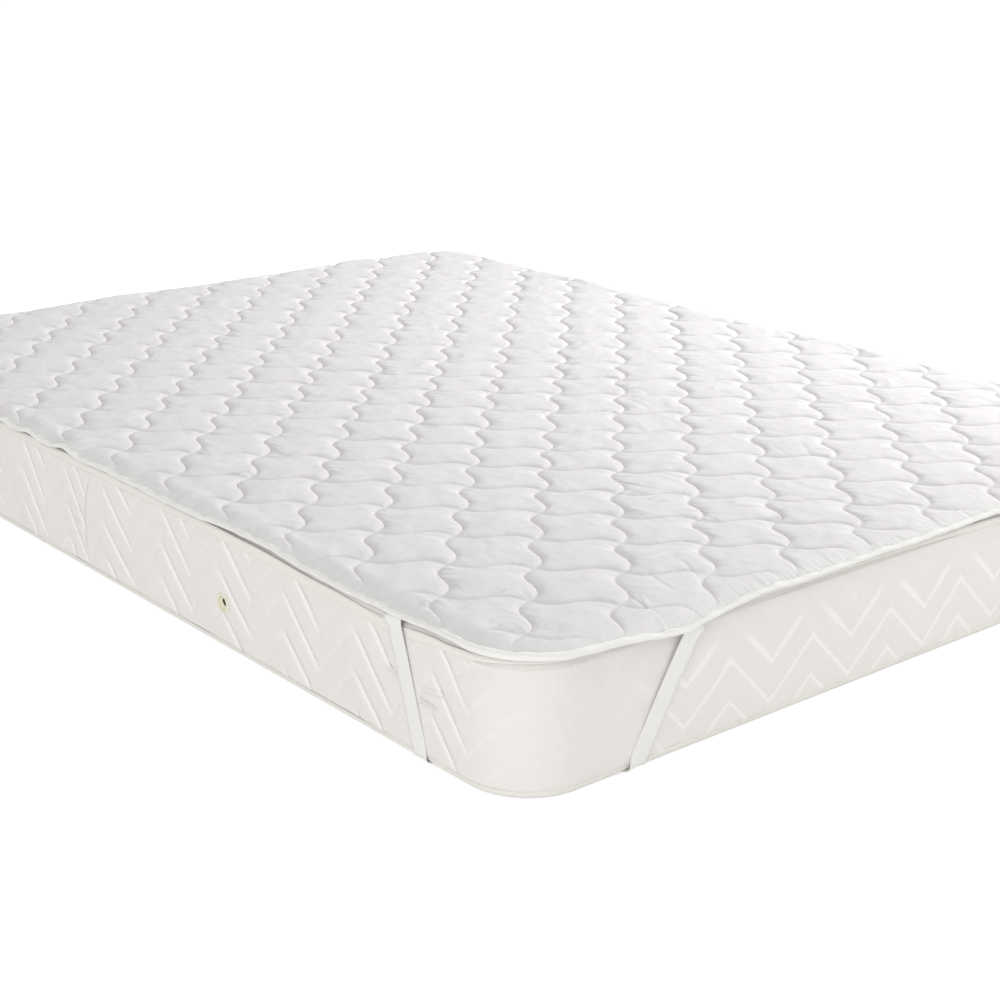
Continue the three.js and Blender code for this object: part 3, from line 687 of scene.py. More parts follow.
# %% [markdown]
# ## Quilted pad
# Cloth, wadding and backing are stitched together along two families of lines that sway and meet in
# crossings. Between them the cloth rises steeply, where the wadding pushes it up, and then rounds off. An
# even grid could be raised there, but its squares would cut across the stitching. So the pad is a grid in the
# lines' own numbers, a and b, which are whole on a line: its grid lines run along the stitching and the
# valleys stay sharp. The grid is cut off along the rim, where the binding hides the cut.

# %% The grid of the quilting
CELL_STEPS = 19
CROWDING = 0.55
REACH_A, REACH_B = (-5, 20), (-9, 18)
TUCK = 1.3 * MM


def crowded(low, high):
    """Stitch-line numbers with CELL_STEPS to a cell, closer together beside each line."""
    even = np.arange((high - low) * CELL_STEPS + 1) / CELL_STEPS + low
    return even - CROWDING * np.sin(2 * math.pi * even) / (2 * math.pi)


def inside_rim(x, y, tuck):
    """Below 0 inside the rim, less the tuck, and how the place lies to the bend line."""
    past, out_x, out_y, line_x, line_y = past_bend(x, y)
    reach = rim_beside(out_x, out_y, line_x, line_y)[0]
    return past - (reach - tuck), out_x, out_y


def trimmed_quilt():
    """Points (x, y, a, b) of the grid inside the rim, and its faces."""
    a, b = (part.ravel() for part in np.meshgrid(crowded(*REACH_A), crowded(*REACH_B), indexing="ij"))
    x, y = quilt_plan(a, b)
    beyond, out_x, out_y = inside_rim(x, y, TUCK)
    close = np.abs(beyond) < TUCK
    x, y = np.where(close, x - beyond * out_x, x), np.where(close, y - beyond * out_y, y)
    beyond = np.where(close, 0, beyond)
    rows, columns = (high - low for low, high in (REACH_A, REACH_B))
    faces = np.array(grid_faces(rows * CELL_STEPS + 1, columns * CELL_STEPS + 1))
    within = beyond[faces]
    whole = faces[(within <= 0).all(1) & (within < 0).any(1)]
    crossing = faces[(within < 0).any(1) & (within > 0).any(1)]
    points = np.stack([x, y, a, b], -1)
    extra, known, cut_faces = [], {}, []
    for face in crossing:
        ring = []
        for here, there in zip(face, np.roll(face, -1)):
            if beyond[here] <= 0:
                ring.append(here)
            if beyond[here] * beyond[there] < 0:
                key = (min(here, there), max(here, there))
                if key not in known:
                    share = beyond[key[0]] / (beyond[key[0]] - beyond[key[1]])
                    known[key] = len(points) + len(extra)
                    extra.append(points[key[0]] * (1 - share) + points[key[1]] * share)
                ring.append(known[key])
        if len(ring) > 2:
            cut_faces.append(ring)
    points = np.concatenate([points, extra])
    faces = whole.tolist() + cut_faces
    used = np.unique(np.concatenate([np.ravel(face) for face in faces]))
    number = np.full(len(points), -1)
    number[used] = np.arange(len(used))
    return points[used], [number[face].tolist() for face in faces]


quilt_points, quilt_faces = trimmed_quilt()
print("quilt points", len(quilt_points), "faces", len(quilt_faces))

# %% Height of the padding
SHOULDER = 4.0 * MM
SHARP_SHARE = 0.70
FLAT_AT_RIM, FULL_FROM_RIM = 8 * MM, 38 * MM
FULLNESS = {"least": 0.84, "more": 0.28}
CELL_TABLE = {"size": 64, "shift": 20}
CELL_CREASES = {"count": 6, "from_first": 0.55, "slant": 1.1, "bow": 8, "least": 0.3, "longer": 0.6,
                "narrow": 3.4, "wider": 2.6, "fade": 0.7, "raised": 0.30, "deep": 1.3}


def line_distance(number):
    """Distance from the nearest whole stitch-line number, in metres."""
    return np.abs(np.sin(math.pi * number)) * CELL_WIDTH / math.pi


def puff(a, b):
    """0 on a stitch line and 1 on a cell's crown: steep beside the line, then rounding off."""
    steep = 1.0
    for number in (a, b):
        steep = steep * (1 - np.exp(-line_distance(number) / SHOULDER))
    broad = np.abs(np.sin(math.pi * a) * np.sin(math.pi * b)) ** 0.6
    return SHARP_SHARE * steep + (1 - SHARP_SHARE) * broad


def cell_numbers(a, b, seed, count):
    """Random numbers from 0 to 1 that are the same all over a cell, count of them for each point."""
    table = np.random.default_rng(seed).random((CELL_TABLE["size"], CELL_TABLE["size"], count))
    row, column = (np.floor(number).astype(int) + CELL_TABLE["shift"] for number in (a, b))
    return table[row, column]


def cell_creases(a, b):
    """Soft creases that run into each cell from its two steep seams."""
    local_a, local_b = (a - np.floor(a)) * CELL_WIDTH, (b - np.floor(b)) * CELL_WIDTH
    total, rule = np.zeros_like(a), CELL_CREASES
    for k in range(rule["count"]):
        start, turn, long, deep, end = np.moveaxis(cell_numbers(a, b, 11 + k, 5), -1, 0)
        first = end < rule["from_first"]
        along = np.where(first, local_b, CELL_WIDTH - local_b)
        side = local_a - start * CELL_WIDTH - along * (turn - 0.5) * rule["slant"]
        side = side + along ** 2 * (long - 0.5) * rule["bow"]
        reach = (rule["least"] + rule["longer"] * long) * CELL_WIDTH
        width = (rule["narrow"] + rule["wider"] * turn) * MM
        fade = np.clip(1 - along / reach, 0, 1) ** rule["fade"]
        total = total + (deep - rule["raised"]) * rule["deep"] * MM * fade * np.exp(-(side / width) ** 2)
    return total * np.sqrt(np.clip(puff(a, b), 0, 1))


def pad_height(x, y, a, b):
    """Thickness of the pad at a point: quilted inside, pressed flat under the binding."""
    past, out_x, out_y, line_x, line_y = past_bend(x, y)
    reach = rim_beside(out_x, out_y, line_x, line_y)[0]
    full = 1 - smooth_step(past - reach, -FULL_FROM_RIM, -FLAT_AT_RIM)
    fuller = FULLNESS["least"] + FULLNESS["more"] * cell_numbers(a, b, 5, 1)[..., 0]
    padding = (PAD["crown"] - PAD["valley"]) * puff(a, b) * fuller - cell_creases(a, b)
    return PAD["rim"] + (PAD["valley"] - PAD["rim"] + padding) * full


# %% Build the pad
GATHERS = [(-3.3, 0.35), (-1.3, 0.5), (-1.0, 0.8), (-0.3, 0.5), (-0.1, 0.3), (0.15, 0.3), (0.3, 0.7),
           (0.42, 1.0), (0.86, 1.0), (1.1, 0.6), (3.3, 0.35)]
GATHER_REACH = 24 * MM
UNDERSIDE_SHARES = (1, 0.66, 0.33, 0, -1.4)


def edge_loop(faces):
    """The points along the open edge of a patch, in order."""
    follows = {}
    for face in faces:
        for here, there in zip(face, face[1:] + face[:1]):
            follows[(here, there)] = True
    step = {here: there for here, there in follows if (there, here) not in follows}
    loop = [next(iter(step))]
    while step[loop[-1]] != loop[0]:
        loop.append(step[loop[-1]])
    if len(loop) != len(step):
        raise ValueError(f"the pad's cut is not one loop: {len(loop)} of {len(step)}")
    return loop


def rim_numbers(x, y):
    """Distance along the rim, and how strongly the cloth is gathered there by the binding."""
    past, out_x, out_y, line_x, line_y = past_bend(x, y)
    reach = rim_beside(out_x, out_y, line_x, line_y)[0]
    along = signed(along_bend(out_x, out_y, line_x, line_y), RIM_LENGTH)
    strength = eased(along, GATHERS) * np.exp(-np.maximum(reach - past, 0) / GATHER_REACH)
    return np.stack([along, strength], -1)


def quilted_pad():
    """The raised top, then rings on the underside from the rim to the bend line and a little past it."""
    x, y, a, b = quilt_points.T
    top = drape(x, y, pad_height(x, y, a, b))
    loop = np.array(edge_loop(quilt_faces))
    past, out_x, out_y, line_x, line_y = past_bend(x[loop], y[loop])
    rings = [top]
    for share in UNDERSIDE_SHARES:
        inset = past * share
        rings.append(drape(line_x + out_x * inset, line_y + out_y * inset, np.zeros_like(inset)))
    count = len(loop)
    faces = list(quilt_faces)
    ring = loop
    for number in range(len(rings) - 1):
        below = len(top) + number * count + np.arange(count)
        for k in range(count):
            faces.append([ring[(k + 1) % count], ring[k], below[k], below[(k + 1) % count]])
        ring = below
    faces.append(list(ring[::-1]))
    piece = new_piece("quilted_pad_cloth", np.concatenate(rings), faces, COTTON,
                      ["quilted_pad"])
    for name, per_point in (("quilt", np.stack([a, b], -1)), ("rim", rim_numbers(x, y))):
        store_uv(piece, name, np.concatenate([per_point] + [per_point[loop]] * (len(rings) - 1)))
    return piece


quilted_pad()

# %% [markdown]
# ## Stitches
# Each stitch line is a run of lock stitches about 5 mm long that lie in the valley. One long thread could be
# swept along the line, but a stitch is a short bead of thread that dips into the cloth at both ends. They
# repeat by the thousand, so Geometry Nodes places one small thread shape along every line.

# %% A node tree that sews along lines
def sewing_tree():
    tree = bpy.data.node_groups.new("sew_along_lines", "GeometryNodeTree")
    tree.interface.new_socket("Lines", in_out="INPUT", socket_type="NodeSocketGeometry")
    for name in ("Stitch Spacing", "Stitch Length", "Thread Width", "Thread Height"):
        tree.interface.new_socket(name, in_out="INPUT", socket_type="NodeSocketFloat")
    tree.interface.new_socket("Thread", in_out="INPUT", socket_type="NodeSocketMaterial")
    tree.interface.new_socket("Stitches", in_out="OUTPUT", socket_type="NodeSocketGeometry")
    given = add_node(tree, "NodeGroupInput").outputs
    lines = add_node(tree, "GeometryNodeMeshToCurve", {"Mesh": given["Lines"]})
    spaced = add_node(tree, "GeometryNodeResampleCurve", {
        "Curve": lines.outputs[0], "Length": given["Stitch Spacing"]}, mode="LENGTH")
    shape = add_node(tree, "GeometryNodeMeshIcoSphere", {"Radius": 0.5, "Subdivisions": 1})
    size = add_node(tree, "ShaderNodeCombineXYZ", {
        0: given["Stitch Length"], 1: given["Thread Width"], 2: given["Thread Height"]})
    tangent = add_node(tree, "GeometryNodeInputTangent")
    turned = add_node(tree, "FunctionNodeAlignRotationToVector", {"Vector": tangent.outputs[0]}, axis="X")
    placed = add_node(tree, "GeometryNodeInstanceOnPoints", {
        "Points": spaced.outputs[0], "Instance": shape.outputs[0],
        "Rotation": turned.outputs[0], "Scale": size.outputs[0]})
    real = add_node(tree, "GeometryNodeRealizeInstances", {0: placed.outputs[0]})
    finished = add_node(tree, "GeometryNodeSetMaterial", {
        "Geometry": real.outputs[0], "Material": given["Thread"]})
    add_node(tree, "NodeGroupOutput", {0: finished.outputs[0]})
    return tree


def grown(name, points, edges, tree, values, slot):
    """Runs a node tree on lines and keeps the result as a plain mesh piece."""
    lines = bpy.data.meshes.new(name + "_lines")
    lines.from_pydata(np.asarray(points).tolist(), edges, [])
    source = bpy.data.objects.new(name + "_lines", lines)
    bpy.context.scene.collection.objects.link(source)
    modifier = source.modifiers.new("grow", "NODES")
    modifier.node_group = tree
    for item in tree.interface.items_tree:
        if item.in_out == "INPUT" and item.name in values:
            modifier[item.identifier] = values[item.name]
    evaluated = source.evaluated_get(bpy.context.evaluated_depsgraph_get())
    mesh = bpy.data.meshes.new_from_object(evaluated)
    mesh.name = name
    mesh.shade_smooth()
    source.modifiers.remove(modifier)
    bpy.data.objects.remove(source)
    piece = bpy.data.objects.new(name, mesh)
    bpy.context.scene.collection.objects.link(piece)
    return dress(piece)


SEWING = sewing_tree()

# %% Sew the quilting
STITCH = {"Stitch Spacing": 5.2 * MM, "Stitch Length": 4.4 * MM, "Thread Width": 0.8 * MM,
          "Thread Height": 0.4 * MM, "Thread": THREAD}
LINE_STEPS = 26
ON_CLOTH = 0.1 * MM


def quilting_lines(family):
    """Runs of points along one family of stitch lines, kept short of the binding."""
    points, edges = [], []
    first, last = (REACH_A, REACH_B)[family]
    other_first, other_last = (REACH_B, REACH_A)[family]
    along = np.linspace(other_first, other_last, (other_last - other_first) * LINE_STEPS + 1)
    for line in range(first, last + 1):
        fixed = np.full_like(along, line)
        a, b = (fixed, along) if family == 0 else (along, fixed)
        x, y = quilt_plan(a, b)
        inside = inside_rim(x, y, FLAT_AT_RIM - 1 * MM)[0] < 0
        places = drape(x, y, pad_height(x, y, a + 1e-6, b + 1e-6) + ON_CLOTH)
        for k in np.flatnonzero(inside):
            if k and inside[k - 1]:
                edges.append((len(points) - 1, len(points)))
            points.append(places[k])
    return points, edges


for family, name in enumerate(("quilting_stitches_right_lean", "quilting_stitches_left_lean")):
    grown(name, *quilting_lines(family), SEWING, STITCH, "quilted_cotton")

# %% [markdown]
# ## Binding
# A strip of tape is folded round the rim and sewn through. A curve with a round bevel could stand for it,
# but it would look like a cord. So it is a thin folded sheet: a U that wraps the pressed edge of the pad,
# swept once round, a little uneven and thickest at the near corner.

# %% Fold the tape round the rim
BINDING = {"width": 7 * MM, "cloth": 0.6 * MM, "low": -0.6 * MM, "high": 4.8 * MM, "spacing": 4 * MM,
           "middle": 2 * MM, "round_from": 3 * MM, "fold": 4 * MM, "lap": 0.15}
UNEVEN_WIDTH = [(0.5 * MM, 0.061, 0.0), (0.4 * MM, 0.038, 1.7), (0.3 * MM, 0.023, 0.6)]
UNEVEN_HEIGHT = [(0.25 * MM, 0.052, 0.9), (0.2 * MM, 0.029, 2.2)]
THICKER = [(-3.3, 0), (-0.13, 0), (-0.01, 2.0), (0.09, 1.4), (0.2, 0.3), (3.3, 0)]


def binding_section():
    """The U of the folded tape as (across, up), outer side first and then back along the inner side."""
    width, cloth, low, high = (BINDING[key] for key in ("width", "cloth", "low", "high"))
    middle, half = (low + high) / 2, (high - low) / 2
    turn = np.linspace(math.pi / 2, -math.pi / 2, 9)
    outer = [(-width, high - 0.5 * MM), (-width + 0.9 * MM, high), (-width * 0.6, high - 0.2 * MM)]
    outer += [(-half + half * math.cos(t), middle + half * math.sin(t)) for t in turn]
    outer += [(-width / 2, low), (-width, low + 0.2 * MM)]
    inner_half = half - cloth
    inner = [(-width, low + cloth), (-width / 2, low + cloth)]
    inner += [(-half + inner_half * math.cos(t), middle + inner_half * math.sin(t)) for t in turn[::-2]]
    inner += [(-width / 2, high - cloth), (-width, high - 0.5 * MM - cloth)]
    return np.array(outer + inner)


def rim_walk(spacing):
    """Stations round the rim: distance, place on the bend line, outward direction, and reach past it."""
    count = round(RIM_LENGTH / spacing)
    distance = np.arange(count) * RIM_LENGTH / count
    place, out = walk(distance, **BEND)
    edge = place + out * PAD["overhang"]
    return distance, place, out, rim_at(edge[:, 0], edge[:, 1])[0]


def edge_binding():
    distance, place, out, reach = rim_walk(BINDING["spacing"])
    section = binding_section()
    thicker = eased(signed(distance, RIM_LENGTH), THICKER)[:, None] * MM
    wider = 1 + (ripple(distance, *UNEVEN_WIDTH)[:, None] + thicker) / BINDING["width"]
    across = reach[:, None] + section[None, :, 0] * wider
    flat = place[:, None, :] + out[:, None, :] * across[..., None]
    above = section[:, 1] - BINDING["middle"]
    lifted = np.where(above > 0, 1, 0) * ripple(distance, *UNEVEN_HEIGHT)[:, None]
    rounder = smooth_step(section[:, 0], -BINDING["width"], -BINDING["round_from"]) * np.sign(above)
    lifted = lifted + rounder * thicker
    points = drape(flat[..., 0], flat[..., 1], section[None, :, 1] + lifted).reshape(-1, 3)
    faces = grid_faces(len(distance), len(section), True, True)
    piece = new_piece("edge_binding_tape", points, faces, BINDING_TAPE, ["edge_binding"])
    fold = np.concatenate([[0], np.cumsum(np.linalg.norm(np.diff(section, axis=0), axis=1))])
    weave = np.stack(np.broadcast_arrays(fold[None, :], distance[:, None]), -1).reshape(-1, 2)
    store_uv(piece, "weave", weave)
    return piece


edge_binding()

# %% Sew the binding
BINDING_STITCH = {"Stitch Spacing": 4.2 * MM, "Stitch Length": 3.4 * MM, "Thread Width": 0.8 * MM,
                  "Thread Height": 0.6 * MM, "Thread": THREAD}
SEAM_IN, SEAM_STEP = 5.4 * MM, 3 * MM


def binding_seam():
    _, place, out, reach = rim_walk(SEAM_STEP)
    flat = place + out * (reach - SEAM_IN)[:, None]
    points = drape(flat[:, 0], flat[:, 1], np.full(len(reach), BINDING["high"] + ON_CLOTH))
    return points, [(k, (k + 1) % len(reach)) for k in range(len(reach))]


grown("binding_stitches", *binding_seam(), SEWING, BINDING_STITCH, "binding_tape")

# %% [markdown]
# ## Mattress
# The mattress is a block with a soft border. Its border is quilted: the woven zigzags are stitched down, and
# the cover puffs out between them. A box with round edges could be raised by a picture of the pattern, but
# zigzags stretch round the corners and change along the sides. So the walk round the border gives columns,
# heights give rows, and one more rule says how far each point stands out. On the left the tape hangs low, and
# the top edge above it is sunk.

# %% The zigzag's own numbers
PEAKS = [(-3.226, -22.5), (-1.170, -9), (-1.0255, -8), (-0.9125, -7), (-0.7495, -6), (-0.134, -2), (0, -1),
         (0.1635, 0), (0.761, 4), (3.226, 20.5)]
VALLEYS = [(-3.2, 34), (-1.17, 34), (-1.03, 12), (-0.91, 12), (-0.75, 26), (-0.6, 32), (-0.44, 45),
           (-0.29, 45), (-0.134, 40), (0.16, 34), (0.316, 24), (0.461, 18), (0.61, 16), (0.76, 22), (3.2, 34)]
LEFT_FROM, LEFT_FULL = -0.02, 0.12
HALF_WOVEN = {"front": 2.4 * MM, "front_more": 2.1 * MM, "wider_from": 80 * MM, "wide_at": 100 * MM,
              "left": 3.6 * MM}
SEWN = {"least": 0.25, "falling": 0.75, "front": 0.2}
STRETCHED = {"near_corner": 0.07, "share": 0.93, "reach": 0.135}
# Painted highlight: on the left side the falling arms are painted paler, where the light falls on their
# grooves.
PALE = {"front": 0.08, "front_low": 0.62, "fades_from": 108 * MM, "faded_at": 134 * MM, "left": 0.16,
        "left_falling_highlight": 0.64}


def zigzag_numbers(distance, height):
    """Periods along the border, and rows up it, whole where a zigzag's trough lies."""
    around = signed(distance, SIDE_LENGTH)
    phase = np.interp(around, *np.array(PEAKS).T) + 0.5
    row = (height - eased(around, VALLEYS) * MM) / ZIGZAG["apart"]
    return phase, row


def left_side(distance):
    """1 along the left side and the back, where the border is pulled tight, and 0 along the front."""
    return smooth_step(-signed(distance, SIDE_LENGTH), LEFT_FROM, LEFT_FULL)


def zigzag_style(distance, height):
    """Rows that a zigzag climbs to a period, and half the width of its woven band."""
    left = left_side(distance)
    rise = ZIGZAG["front_rise"] + (ZIGZAG["left_rise"] - ZIGZAG["front_rise"]) * left
    wide = smooth_step(height, HALF_WOVEN["wider_from"], HALF_WOVEN["wide_at"])
    front_width = HALF_WOVEN["front"] + HALF_WOVEN["front_more"] * wide
    return 2 * rise / ZIGZAG["apart"], front_width + (HALF_WOVEN["left"] - front_width) * left


def zigzag_away(distance, height):
    """Distance from the nearest zigzag line, in metres."""
    phase, row = zigzag_numbers(distance, height)
    lines = row - np.abs(phase - np.round(phase)) * zigzag_style(distance, height)[0]
    return np.abs(lines - np.round(lines)) * ZIGZAG["apart"] * SLANT


def falling_arm(phase):
    """1 where a zigzag falls towards the near corner, seen on the left side, and 0 where it climbs."""
    return 0.5 - 0.5 * np.clip(1.6 * np.sin(2 * math.pi * phase), -1, 1)


def sewn_share(distance, height):
    """How deeply a zigzag is sewn in: most on the left side's falling arms."""
    left, falling = left_side(distance), falling_arm(zigzag_numbers(distance, height)[0])
    return (SEWN["least"] + SEWN["falling"] * falling) * left + SEWN["front"] * (1 - left)


def corner_fade(distance):
    """1 away from the corners and less round each one, where the border is stretched."""
    share = np.ones_like(distance)
    near = STRETCHED["near_corner"]
    others = knots(**SIDE)[[2, 4, 6]] + SIDE["radius"] * math.pi / 4
    for corner in (near, *others, SIDE_LENGTH + near):
        beside = np.exp(-((distance - corner) / STRETCHED["reach"]) ** 4)
        share = share * (1 - STRETCHED["share"] * beside)
    return share


def pattern_share(distance, height):
    """How pale the zigzag is. The left's falling arms are palest, as painted highlight; on the front, its low
    part.
    """
    left = left_side(distance)
    low = 1 - smooth_step(height, PALE["fades_from"], PALE["faded_at"])
    front = PALE["front"] + PALE["front_low"] * low
    side = PALE["left"] + PALE["left_falling_highlight"] * falling_arm(zigzag_numbers(distance, height)[0])
    return corner_fade(distance) * (front + (side - front) * left)


# %% Where the tapes run
TAPE = {"reach": 2.5 * MM, "top_edge": 16 * MM, "low_edge": 8 * MM, "low": 8.5 * MM, "half": 4.6 * MM,
        "spacing": 5 * MM, "low_stand": 0.5, "rib_slant": 0.6, "off_floor": 0.3 * MM, "flat_share": 2.5}
TOP_TAPE = [(-3.3, 165), (-1.25, 162), (-0.72, 163), (-0.52, 160), (-0.35, 154), (-0.22, 149), (-0.12, 158),
            (0, 168), (0.15, 169), (0.6, 167), (0.9, 160), (1.3, 165), (3.3, 165)]
TOP_TAPE_HALF = [(-3.3, 6), (-1.0, 6.5), (-0.3, 7.5), (-0.2, 7.5), (-0.1, 5), (0.05, 4), (0.3, 5),
                 (3.3, 5.5)]
LOW_TAPE = [(-3.3, 5.0), (-0.15, 4.6), (0.15, 5.2), (3.3, 5.2)]
LOW_TAPE_HALF = [(-3.3, 4.2), (-0.15, 4.0), (0.15, 5.0), (3.3, 5.0)]
LIFTED_WITHIN = 34 * MM
PRESSED = {"full": 8 * MM, "none": 24 * MM, "off_tape": 0.55 * MM}


def near_bands(distance):
    """1 where a band crosses the border's foot, which lifts the bottom tape there."""
    place, _ = walk(distance, **SIDE)
    near = np.zeros_like(distance)
    for corner in CORNERS.values():
        for long in (True, False):
            foot = corner_point(corner, long, SIDE["half_width" if long else "half_length"],
                                corner["long_foot" if long else "short_foot"] * MM, 0)
            near = near + np.exp(-((place - foot[:2]) ** 2).sum(-1) / LIFTED_WITHIN ** 2)
    return np.minimum(near, 1)


def tape_run(distance, top):
    """Middle height and half height of a tape at these distances."""
    around = signed(distance, SIDE_LENGTH)
    if top:
        return eased(around, TOP_TAPE) * MM, eased(around, TOP_TAPE_HALF) * MM
    lifted, half = near_bands(distance), eased(around, LOW_TAPE_HALF) * MM
    centre = eased(around, LOW_TAPE) * MM
    return centre + lifted * (TAPE["low"] - centre), half


def under_bands(place, height):
    """1 where a band presses on the border and 0 away from it."""
    pressed = np.zeros(len(place))
    for corner in CORNERS.values():
        for kind, axis, limit in (("long", 1, BODY_HIGH.y), ("short", 0, BODY_HIGH.x)):
            near = (place * (corner["sx"], corner["sy"]) > 0).all(1)
            foot, top = corner[kind + "_foot"] * MM, corner[kind + "_top"] * MM
            centre = foot + (top - foot) * (height - TAPE["low"]) / (TOP - 2 * TAPE["low"])
            off = np.abs(limit - np.abs(place[:, axis]) - centre)
            side = SIDE["half_width"] if axis else SIDE["half_length"]
            on_side = np.abs(place[:, 1 - axis]) > side - 2 * MM
            under = 1 - smooth_step(off, PRESSED["full"], PRESSED["none"])
            pressed = np.maximum(pressed, near * on_side * under)
    return pressed


# %% How far the border stands out
VENT_LOW, VENT_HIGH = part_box("mattress_air_vent")
VENT_MIDDLE = (VENT_LOW + VENT_HIGH) / 2
VENT_RADIUS = (VENT_HIGH.y - VENT_LOW.y) / 2
VENT_DISH = {"deep": 6 * MM, "full": 0.8, "none": 0.98, "flat_to": 2.2}
QUILT_DEPTH, QUILT_REACH = 2.6 * MM, 4.6 * MM
SEAM = {"inside": 1 * MM, "highest": 159 * MM, "low_round": 0.12, "roundness": 0.6, "out": 0.4 * MM}
PUCKER = {"apart": 9 * MM, "deep": 0.45 * MM, "long": 14 * MM, "low_share": 0.6, "wobble": (0.0131, 0.0317)}
SOFT_SLANT = 0.8
SOFTNESS = [(0.7 * MM, 0.31, 0.5), (0.5 * MM, 0.173, 2.0), (0.35 * MM, 0.087, 1.0)]


def border_out(place, distance, height):
    """How far the border stands out from the seams at the two tapes."""
    (top, top_half), (low, low_half) = tape_run(distance, True), tape_run(distance, False)
    low_seam = low + low_half - SEAM["inside"]
    top_seam = np.minimum(top - top_half + SEAM["inside"], SEAM["highest"])
    share = np.clip((height - low_seam) / (top_seam - low_seam), 0, 1)
    turned = SEAM["low_round"] + (1 - SEAM["low_round"]) * share
    round_off = np.sin(math.pi * turned) ** SEAM["roundness"]
    uneven = ripple(distance + SOFT_SLANT * height, *SOFTNESS)
    away = zigzag_away(distance, height)
    arm = sewn_share(distance, height)
    fade = smooth_step(np.minimum(share, 1 - share), 0, 0.1) * corner_fade(distance)
    valley = QUILT_DEPTH * arm * np.exp(-(away / QUILT_REACH) ** 1.5) * fade
    wobble = np.sin(distance / PUCKER["wobble"][0]) + np.sin(distance / PUCKER["wobble"][1] + 1)
    pucker = PUCKER["deep"] * np.sin(2 * math.pi * distance / PUCKER["apart"] + wobble)
    pucker = pucker * (np.exp(-np.abs(top_seam - height) / PUCKER["long"])
                       + PUCKER["low_share"] * np.exp(-np.abs(height - low_seam) / PUCKER["long"]))
    from_vent = np.hypot(place[..., 1] - VENT_MIDDLE.y, height - VENT_MIDDLE.z)
    from_vent = np.where(place[..., 0] < 0, from_vent, 1)
    flat = smooth_step(from_vent, VENT_RADIUS, VENT_DISH["flat_to"] * VENT_RADIUS)
    edge = smooth_step(from_vent, VENT_DISH["full"] * VENT_RADIUS, VENT_DISH["none"] * VENT_RADIUS)
    dish = VENT_DISH["deep"] * (1 - edge)
    out = BULGE * round_off + (SEAM["out"] + uneven * round_off - valley) * flat + pucker * flat - dish
    pressed = under_bands(place, height)
    return out + (TAPE["reach"] + PRESSED["off_tape"] - out) * pressed


# %% Where the bands run under the corners
CORNER_KEYS = ("sx", "sy", "long_top", "long_foot", "short_top", "short_foot")
CORNERS = {name: dict(zip(CORNER_KEYS, values)) for name, values in (
    ("front_left", (-1, -1, 224, 178, 261, 180)),
    ("front_right", (1, -1, 217, 174, 256, 186)),
    ("back_right", (1, 1, 226, 181, 265, 178)),
    ("back_left", (-1, 1, 215, 172, 258, 183)),
)}
BAND = {"width": 27 * MM, "thick": 1.2 * MM, "seam": 10 * MM, "seam_drop": 0.6 * MM, "taut": 1.6,
        "foot": 14 * MM, "turn": 30 * MM, "spare": 0.25 * MM, "rim_low": 12 * MM, "above_tape": 4 * MM}
HANG_SHARES = (0.06, 0.14, 0.3, 0.5, 0.75, 1)
FOOT_ANGLES = (15, 38, 62, 85)
UNDER_POINTS = 14


def corner_point(corner, long, out, along, height):
    """A point beside a corner: how far out from the middle, how far along the side from the corner."""
    if long:
        return np.array([corner["sx"] * out, corner["sy"] * (BODY_HIGH.y - along), height])
    return np.array([corner["sx"] * (BODY_HIGH.x - along), corner["sy"] * out, height])


def band_side(corner, long):
    """A band's path down one side as rows of (point, outward normal), and where it heads under the bed."""
    side = SIDE["half_width"] if long else SIDE["half_length"]
    kind = "long" if long else "short"
    top, foot = corner[kind + "_top"] * MM, corner[kind + "_foot"] * MM
    clear = GAP + BAND["thick"] / 2

    def facing(angle):
        return corner_point(corner, long, math.cos(angle), 0, -math.sin(angle)) * (
            (1, 0, 1) if long else (0, 1, 1))

    lean = (top - foot) / (TOP - BAND["rim_low"] - TAPE["low"])
    under = BINDING["low"] - clear - BAND["seam_drop"]
    path = []
    for across in (-BAND["seam"], -BAND["seam"] / 2, 0):
        beside = corner_point(corner, long, side, top - lean * across, 0)
        _, out_x, out_y, line_x, line_y = past_bend(beside[0], beside[1])
        reach, curve = rim_beside(out_x, out_y, line_x, line_y)
        past = reach + across
        point = drape(line_x + out_x * past, line_y + out_y * past, under)
        path.append((point, facing(float(past * curve) - math.pi / 2)))
    rim = path[-1][0]
    rim_out = abs(rim[0] if long else rim[1])
    hang = side + GAP + TAPE["reach"] + clear

    def along(height):
        return top - lean * (rim[2] - height)

    for share in HANG_SHARES:
        height = rim[2] + (TAPE["low"] + BAND["above_tape"] - rim[2]) * share
        hanging = hang + (rim_out - hang) * (1 - share) ** BAND["taut"]
        path.append((corner_point(corner, long, hanging, along(height), height), facing(0)))
    wide, down = TAPE["reach"] + clear + BAND["spare"], TAPE["half"] + clear + 2 * BAND["spare"]
    for angle in np.radians(FOOT_ANGLES):
        height = TAPE["low"] - down * math.sin(angle)
        out = side + GAP + wide * math.cos(angle)
        path.append((corner_point(corner, long, out, along(height), height), facing(angle)))
    out = side + BULGE - BAND["foot"]
    below = corner_point(corner, long, out, along(0) - lean * BAND["foot"], BAND["thick"] / 2)
    path.append((below, facing(math.pi / 2)))
    inward = corner_point(corner, long, side - 1, foot - lean, 0) - corner_point(corner, long, side, foot, 0)
    return path, inward / np.linalg.norm(inward)


def bezier(a, b, c, d, count):
    t = np.linspace(0, 1, count)[:, None]
    return (1 - t) ** 3 * a + 3 * (1 - t) ** 2 * t * b + 3 * (1 - t) * t ** 2 * c + t ** 3 * d


